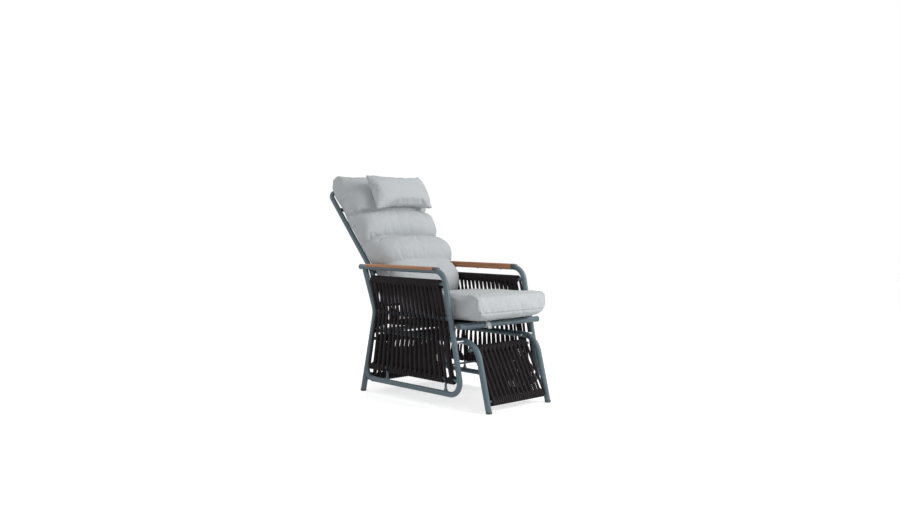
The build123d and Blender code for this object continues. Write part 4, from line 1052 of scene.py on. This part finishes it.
def rope_material(finish, braid, mottle):
    """Round braided outdoor rope: yarns in relief, painted shade between them, slightly uneven tone."""
    material, tree, shader, coordinates = new_material("braided_rope", 0.80, specular_ior_level=0.22)
    yarns = use_group(tree, braid, Vector=coordinates["UV"], Yarns=8.0, Slant=1.6)["Height"]
    uneven = use_group(tree, mottle, Vector=coordinates["Object"], Patch_Scale=24.0, Grain_Scale=2600.0)
    # Where the braid is low the colour is darker: painted shade between the yarns, times a random uneven tone.
    braid_shade_and_tone = calc(tree, "MULTIPLY", yarns, uneven["Tone"])
    factor = spread_factor(tree, braid_shade_and_tone, 0.05, 0.62)
    tone_between(tree, factor, shaded(finish.rope, 0.42), shaded(finish.rope, 1.45), shader)
    height = calc(tree, "ADD", yarns, calc(tree, "MULTIPLY", uneven["Grain"], 0.35))
    bump(tree, height, 0.0012, 0.8, shader)
    return material


def woven_material(name, colour, weave, mottle, threads, depth, patch, contrast, sheen):
    """Woven cloth: plain weave in relief, painted shade where its threads dip, a slightly uneven tone and a soft
    sheen.
    """
    material, tree, shader, coordinates = new_material(name, 0.86, sheen_weight=sheen, sheen_roughness=0.5)
    cloth = use_group(tree, weave, Vector=coordinates["Object"], Threads=threads)["Height"]
    uneven = use_group(tree, mottle, Vector=coordinates["Object"], Patch_Scale=patch, Grain_Scale=2200.0)
    patchy = spread_factor(tree, uneven["Tone"])
    # The weave's height darkens the colour where the threads dip: painted shade, mixed with a random uneven tone.
    mixed = calc(tree, "ADD", calc(tree, "MULTIPLY", cloth, 0.45), calc(tree, "MULTIPLY", patchy, 0.55))
    tone_between(tree, mixed, shaded(colour, 1 - contrast), shaded(colour, 1 + contrast), shader)
    height = calc(tree, "ADD", cloth, calc(tree, "MULTIPLY", uneven["Grain"], 0.5))
    bump(tree, height, depth, 0.6, shader)
    return material


def arrange(tree):
    """Sets a tree's nodes in columns, by how many links lead from them to its output."""
    column = {}

    def reach(node, level):
        if column.get(node.name, -1) < level:
            column[node.name] = level
            for socket in node.inputs:
                for link in socket.links:
                    reach(link.from_node, level + 1)

    for node in tree.nodes:
        if not any(socket.links for socket in node.outputs):
            reach(node, 0)
    filled = {}
    for node in tree.nodes:
        level = column[node.name]
        node.location = (-220 * level, -280 * filled.get(level, 0))
        filled[level] = filled.get(level, 0) + 1


def make_materials(finish):
    """Builds the shared node groups once and every material from them."""
    groups = mottle, braid, weave = mottle_group(), braid_group(), weave_group()
    cloths = {
        "sling_mesh": ("sling_mesh_cloth", finish.mesh, 520.0, 0.0006, 9.0, 0.35, 0.05),
        "cushion_cloth": ("cushion_cloth", finish.cloth, 900.0, 0.00025, 5.0, 0.045, 0.12),
        "strap_webbing": ("strap_webbing", finish.webbing, 620.0, 0.0005, 14.0, 0.12, 0.1)}
    materials["powder_coat"] = powder_material(finish, mottle)
    materials["teak"] = teak_material(finish)
    materials["dark_plastic"] = materials["bush_nylon"] = plastic_material(finish, mottle)
    materials["rope"] = rope_material(finish, braid, mottle)
    for slot, (name, colour, *values) in cloths.items():
        materials[slot] = woven_material(name, colour, weave, mottle, *values)
    materials["fastener_steel"] = steel_material(finish, mottle)
    for tree in (*groups, *(material.node_tree for material in materials.values())):
        arrange(tree)


# Operators

class LOUNGE_OT_finishes(bpy.types.Operator):
    """Build the materials and give them to the frame's parts"""
    bl_idname = "lounge.finishes"
    bl_label = "Finishes"

    def execute(self, context):
        make_materials(context.scene.lounge_finish)
        for part in frame["record"]["subparts"]:
            node = frame["nodes"][part["node"]]
            for slot in node.material_slots:
                slot.material = materials[part["material_slot"]]
        return {"FINISHED"}


class LOUNGE_OT_side_ropes(bpy.types.Operator):
    """Wind the braided ropes of the two side panels"""
    bl_idname = "lounge.side_ropes"
    bl_label = "Side ropes"

    def execute(self, context):
        rope = context.scene.lounge_rope
        for number, (side, sign) in enumerate(SIDES):
            route = side_route(rope, sign, 10 + number)
            lay_rope(side, "side_rope_" + side, route, rope, (0.0, 1.0, 0.0))
        return {"FINISHED"}


class LOUNGE_OT_cross_ropes(bpy.types.Operator):
    """Wind the braided ropes between the front legs and between the rear legs"""
    bl_idname = "lounge.cross_ropes"
    bl_label = "Front and rear ropes"

    def execute(self, context):
        rope = context.scene.lounge_rope
        panels = (("front", rod_pair(FRONT_RODS, True), FRONT_PANEL_HALF, rope.front_turns),
                  ("rear", rod_pair(REAR_RODS, False), REAR_PANEL_HALF, rope.rear_turns))
        for number, (name, rods, half, turns) in enumerate(panels):
            route = panel_route(rope, rods, half, turns, 30 + number)
            lay_rope(name, name + "_rope", route, rope, (1.0, 0.0, 0.0))
        return {"FINISHED"}


class LOUNGE_OT_slings(bpy.types.Operator):
    """Stretch the seat sling and the back sling over their bars"""
    bl_idname = "lounge.slings"
    bl_label = "Slings"

    def execute(self, context):
        sling = context.scene.lounge_sling
        gap = BAR_GAP + sling.thickness / 2
        self.seat(sling, gap)
        line = sling_line([(back_place(up, 0.0), radius) for up, radius in BACK_BARS], sling.hem, gap)
        x = np.linspace(-sling.back_half, sling.back_half, 29)
        faces = [across(offset_line(line, share * sling.thickness / 2), x) for share in (1, -1)]
        flat = (2 * sling.back_half, travelled_along(line)[-1])
        self.make("back", faces, None, flat, "back", ["back_crossbars"])
        return {"FINISHED"}

    def seat(self, sling, gap):
        """The seat sling, sleeved on the side rails, with a notch round each spacer."""
        rails = [(np.array([sign * sling.rail_place, 0.0]), sling.rail_radius) for _, sign in SIDES]
        line = sling_line(rails, sling.hem, gap)
        spacer = (SPACERS[0] + SPACERS[1])[1:] / 2
        notch = (SPACERS[1][2] - SPACERS[0][2]) / 2 + NOTCH_GAP
        way = unit(RAIL_FRONT - HINGE)
        ends = [(HINGE[0] - y) / abs(way[0]) for y in (sling.seat_rear, sling.seat_front)]
        middle = float((spacer - HINGE) @ way)
        finer = np.linspace(middle - NOTCH_REACH, middle + NOTCH_REACH, 17)
        places = np.union1d(np.linspace(*ends, 34), finer)
        faces = [along_rails(offset_line(line, side * sling.thickness / 2), places) for side in (1, -1)]
        outer = np.abs(faces[0][..., 0]) > sling.rail_place
        from_spacer = faces[0][..., 1:] - spacer
        distance = np.linalg.norm(from_spacer, axis=-1)
        cell = (distance[:-1, :-1] + distance[1:, :-1] + distance[:-1, 1:] + distance[1:, 1:]) / 4
        keep = (cell > notch) | ~outer[:-1, :-1]
        rim = outer & (np.abs(distance - notch) < 0.0016)
        for face in faces:
            face[..., 1:][rim] = spacer + from_spacer[rim] * (notch / distance[rim])[:, None]
        self.make("seat", faces, keep, (travelled_along(line)[-1], ends[1] - ends[0]), "chair_frame",
                  ["seat_rail_right", "seat_rail_left"])

    def make(self, name, faces, keep, flat, body, bars):
        """One sling from its two faces."""
        piece = thick_sheet("mesh_sling_" + name, *faces, keep)
        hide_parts(name + "_sling")
        finish_piece(piece, "sling_mesh", body)


class LOUNGE_OT_strap(bpy.types.Operator):
    """Lay the webbing strap of the seat cushion round the front rail"""
    bl_idname = "lounge.strap"
    bl_label = "Strap"

    def execute(self, context):
        sling = context.scene.lounge_sling
        half = sling.strap_thickness / 2
        radius = (FRONT_RAIL[1][2] - FRONT_RAIL[0][2]) / 2 + BAR_GAP + half
        ring = round_bar_line(RAIL_FRONT, radius, math.radians(118), math.radians(420), 60)
        over = round_bar_line(RAIL_FRONT, radius + 2.4 * half, math.radians(136), math.radians(184), 14)
        share = np.linspace(0, 1, 12)[1:, None]
        fall = over[-1] + np.hstack([-0.0016 * share ** 2, -sling.strap_tail * share])
        tail = np.concatenate([over, fall])
        width = np.linspace(-sling.strap_width / 2, sling.strap_width / 2, 9)[None]
        for name, line, drift in (("webbing_strap", ring, -0.007), ("webbing_strap_end", tail, 0.010)):
            x = sling.strap_place + width + drift * np.linspace(0, 1, len(line))[:, None] ** 1.5
            piece = thick_sheet(name, *(across(offset_line(line, side * half), x) for side in (1, -1)))
            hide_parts("cushion_strap")
            finish_piece(piece, "strap_webbing", "chair_frame")
        return {"FINISHED"}


class LOUNGE_OT_back_cushion(bpy.types.Operator):
    """Sew and stuff the channelled back cushion"""
    bl_idname = "lounge.back_cushion"
    bl_label = "Back cushion"

    def execute(self, context):
        cushion = context.scene.lounge_cushion
        form = back_cushion_form(cushion, ROOM_TO_SWELL)

        def held(points):
            up, out = back_coordinates(points)
            below = out < BACK_UNDERSIDE + HELD_BELOW
            beside = np.abs(points[:, 0]) > cushion.back_half - HELD_EAR
            grip = 0.9 * (below | beside & (up > cushion.back_top - HELD_EAR))
            for seam in BACK_SEAMS:
                grip = np.maximum(grip, 0.95 * (from_seam(seam, up, out) < HELD_SEAM))
            return grip

        piece = cushion_piece("sewn_back_cushion", form.transpose(1, 0, 2), cushion.pressure, cap=0.010,
                              slack=0.022, voxel=0.0055, held=held)
        points = points_of(piece)
        up, out = back_coordinates(points)
        lines = [(from_seam(seam, up, out), 1.0, 1.0) for seam in BACK_SEAMS]
        folds = 0
        for number, (seam, sign) in enumerate((seam, sign) for seam in BACK_SEAMS[:2] for sign in (-1, 1)):
            for depth, height in BACK_PLEATS:
                place = back_place(seam[0] + seam[2] * (seam[1] - depth), depth)
                end = np.array([sign * (cushion.back_half - 0.008), *place])
                way = np.array([-sign, 0, 0])
                pleats = fan_folds(points, end, way, BACK_PLEAT_REACH, count=5, seed=40 + number)
                folds = folds + height * pleats
        sew(piece, cushion, lines, points[:, 0], folds * (out > 0.02), seed=5)
        finish_cushion(piece, "back_cushion", "back")
        return {"FINISHED"}


class LOUNGE_OT_seat_cushion(bpy.types.Operator):
    """Sew and stuff the boxed seat cushion"""
    bl_idname = "lounge.seat_cushion"
    bl_label = "Seat cushion"

    def execute(self, context):
        cushion = context.scene.lounge_cushion
        form = seat_cushion_form(cushion, ROOM_TO_SWELL)

        def held(points):
            below = points[:, 2] < seat_line_at(points[:, 1]) + HELD_BELOW
            flank = np.abs(points[:, 0]) > cushion.seat_half - HELD_FLANK
            ahead = points[:, 1] < SEAT_EDGE[0] + HELD_FRONT
            brow = np.linalg.norm(points[:, 1:] - np.array(SEAT_EDGE), axis=1) < HELD_EDGE
            return np.maximum(0.9 * (below | flank & ahead), 0.7 * brow)

        piece = cushion_piece("sewn_seat_cushion", form.transpose(1, 0, 2), cushion.pressure, cap=0.007,
                              slack=0.012, voxel=0.0055, held=held)
        points = points_of(piece)
        front = points[:, 1] - SEAT_NOSE[0]
        rise = points[:, 2] - seat_line_at(points[:, 1])
        nose = np.where(front < 0.05, np.abs(rise - NOSE_SEAM_SHARE * cushion.seat_depth), 1.0)
        side = cushion.seat_half - np.abs(points[:, 0])
        corner = np.where((front < 0.08) & (rise > 0.02), np.abs(side - front * 0.9 - 0.002), 1.0)
        ends = [np.array([sign * (cushion.seat_half - 0.006), SEAT_EDGE[0] + 0.004, SEAT_EDGE[1] - 0.012])
                for sign in (-1, 1)]
        way = np.array([0, 0.6, -0.8])
        folds = sum(SEAT_PLEAT_HEIGHT * fan_folds(points, end, way, SEAT_PLEAT_REACH, count=4, seed=60)
                    for end in ends)
        lines = [(nose, 0.8, 0.5), (corner, 0.9, 0.7)]
        sew(piece, cushion, lines, points[:, 0] + points[:, 2], folds, seed=8)
        finish_cushion(piece, "seat_cushion", "chair_frame")
        return {"FINISHED"}


class LOUNGE_OT_head_pillow(bpy.types.Operator):
    """Sew and stuff the head pillow"""
    bl_idname = "lounge.head_pillow"
    bl_label = "Head pillow"

    def execute(self, context):
        cushion = context.scene.lounge_cushion

        def held(points):
            rise = np.abs((points[:, 1:] - PILLOW_CENTRE) @ PILLOW_LIFT)
            beside = np.abs(points[:, 0]) / (cushion.pillow_width / 2)
            return 0.9 * ((beside > 0.80) & (rise / (cushion.pillow_height / 2) > 0.72))

        form = pillow_form(cushion, PILLOW_ROOM)
        piece = cushion_piece("soft_head_pillow", form, cushion.pressure, cap=0.008, slack=0.03,
                              voxel=0.0042, held=held)
        points = points_of(piece)
        from_centre = points[:, 1:] - PILLOW_CENTRE
        up, out = from_centre @ PILLOW_LIFT, from_centre @ turned(PILLOW_LIFT)
        rim = np.minimum(cushion.pillow_width / 2 - np.abs(points[:, 0]),
                         cushion.pillow_height / 2 - np.abs(up))
        edge = np.hypot(np.maximum(rim, 0) * 0.6, out)
        sew(piece, cushion, [(edge, 0.7, 1.3)], points[:, 0] + up, 0, seed=12)
        finish_cushion(piece, "head_pillow", "back")
        return {"FINISHED"}


class LOUNGE_OT_stage(bpy.types.Operator):
    """Set the floor, the lamps, the world and the camera"""
    bl_idname = "lounge.stage"
    bl_label = "Stage"

    def execute(self, context):
        stage = context.scene.lounge_stage
        self.floor(stage)
        self.world(context, stage)
        for name, place, size, power in LAMPS:
            self.lamp(name, place, size, getattr(stage, power))
        self.camera(context, stage)
        context.scene.view_settings.view_transform = "Standard"
        return {"FINISHED"}

    def floor(self, stage):
        """A round pale floor that shows white to the camera and keeps the shadow."""
        angle = np.linspace(0, 2 * np.pi, 96, endpoint=False)
        rings = np.array([0.6, 2.0, 6.0, 14.0])[:, None]
        points = np.stack([rings * np.cos(angle), rings * np.sin(angle), np.zeros((4, 96)) - 0.0005], -1)
        mesh = bpy.data.meshes.new("studio_floor")
        mesh.from_pydata(points.reshape(-1, 3).tolist(), [],
                         grid_quads(4, 96, True)[:, ::-1].tolist() + [list(range(96))])
        material, tree, shader, _ = new_material("floor_paint", 0.9, specular_ior_level=0.1)
        shader.inputs["Base Color"].default_value = (*stage.floor_colour, 1.0)
        shader.inputs["Emission Color"].default_value = (1.0, 1.0, 1.0, 1.0)
        path = add_node(tree, "LightPath").outputs
        seen = calc(tree, "MAXIMUM", path["Is Camera Ray"], path["Is Glossy Ray"])
        glow = calc(tree, "MULTIPLY", seen, stage.floor_glow)
        tree.links.new(glow, shader.inputs["Emission Strength"])
        mesh.materials.append(material)
        arrange(tree)
        self.link("studio_floor", mesh)

    def world(self, context, stage):
        """An even pale sky, white where the camera or a mirror sees it."""
        world = bpy.data.worlds.new("studio_light")
        context.scene.world = world
        world.use_nodes = True
        tree = world.node_tree
        sky = next(n for n in tree.nodes if n.type == "BACKGROUND")
        sky.inputs["Color"].default_value = (1.0, 1.0, 1.0, 1.0)
        path = add_node(tree, "LightPath").outputs
        seen = calc(tree, "MAXIMUM", path["Is Camera Ray"], path["Is Glossy Ray"])
        seen = calc(tree, "MAXIMUM", seen, path["Is Transmission Ray"])
        mix = add_node(tree, "Mix", {"Factor": seen, "A": stage.sky, "B": 1.0}, data_type="FLOAT")
        tree.links.new(mix.outputs["Result"], sky.inputs["Strength"])
        arrange(tree)

    def lamp(self, name, place, size, power):
        """A square lamp that looks at the middle of the chair."""
        data = bpy.data.lights.new(name, "AREA")
        data.size = size
        data.energy = power
        self.aim(self.link(name, data), place, np.subtract(LAMP_TARGET, place))

    def camera(self, context, stage):
        """The camera at the photograph's place and angle."""
        data = bpy.data.cameras.new("photo_camera")
        data.sensor_width = 36.0
        data.lens = stage.lens
        data.clip_end = 60.0
        context.scene.camera = self.link("photo_camera", data)
        self.aim(context.scene.camera, CAMERA_PLACE, CAMERA_WAY)

    def link(self, name, data):
        """A new object in the scene."""
        item = bpy.data.objects.new(name, data)
        bpy.context.scene.collection.objects.link(item)
        return item

    def aim(self, item, place, way):
        """Puts a lamp or camera at a place, looking along a way, level."""
        item.location = place
        item.rotation_mode = "QUATERNION"
        item.rotation_quaternion = Vector([float(v) for v in way]).to_track_quat("-Z", "Y")


class LOUNGE_PT_panel(bpy.types.Panel):
    """Sidebar panel with the chair's pieces and sizes"""
    bl_idname = "LOUNGE_PT_panel"
    bl_label = "Lounge Chair"
    bl_space_type = "VIEW_3D"
    bl_region_type = "UI"
    bl_category = "Lounge Chair"

    def draw(self, context):
        layout = self.layout
        for operator in OPERATORS:
            layout.operator(operator.bl_idname)
        for name, group in SETTINGS.items():
            box = layout.box()
            for key in group.__annotations__:
                box.prop(getattr(context.scene, name), key)


SETTINGS = {"lounge_rope": RopeSettings, "lounge_cushion": CushionSettings, "lounge_sling": SlingSettings,
            "lounge_finish": FinishSettings, "lounge_stage": StageSettings}
OPERATORS = (LOUNGE_OT_finishes, LOUNGE_OT_side_ropes, LOUNGE_OT_cross_ropes, LOUNGE_OT_slings,
             LOUNGE_OT_strap, LOUNGE_OT_seat_cushion, LOUNGE_OT_back_cushion, LOUNGE_OT_head_pillow,
             LOUNGE_OT_stage)


def register():
    """Registers the settings, operators and panel."""
    for group in SETTINGS.values():
        bpy.utils.register_class(group)
    for name, group in SETTINGS.items():
        setattr(bpy.types.Scene, name, bpy.props.PointerProperty(type=group))
    for item in (*OPERATORS, LOUNGE_PT_panel):
        bpy.utils.register_class(item)


def unregister():
    """Takes the settings, operators and panel away again."""
    for item in (LOUNGE_PT_panel, *reversed(OPERATORS)):
        bpy.utils.unregister_class(item)
    for name in SETTINGS:
        delattr(bpy.types.Scene, name)
    for group in SETTINGS.values():
        bpy.utils.unregister_class(group)


def main():
    """Makes every piece in order."""
    register()
    for operator in OPERATORS:
        group, name = operator.bl_idname.split(".")
        getattr(getattr(bpy.ops, group), name)()


if __name__ == "__main__":
    main()
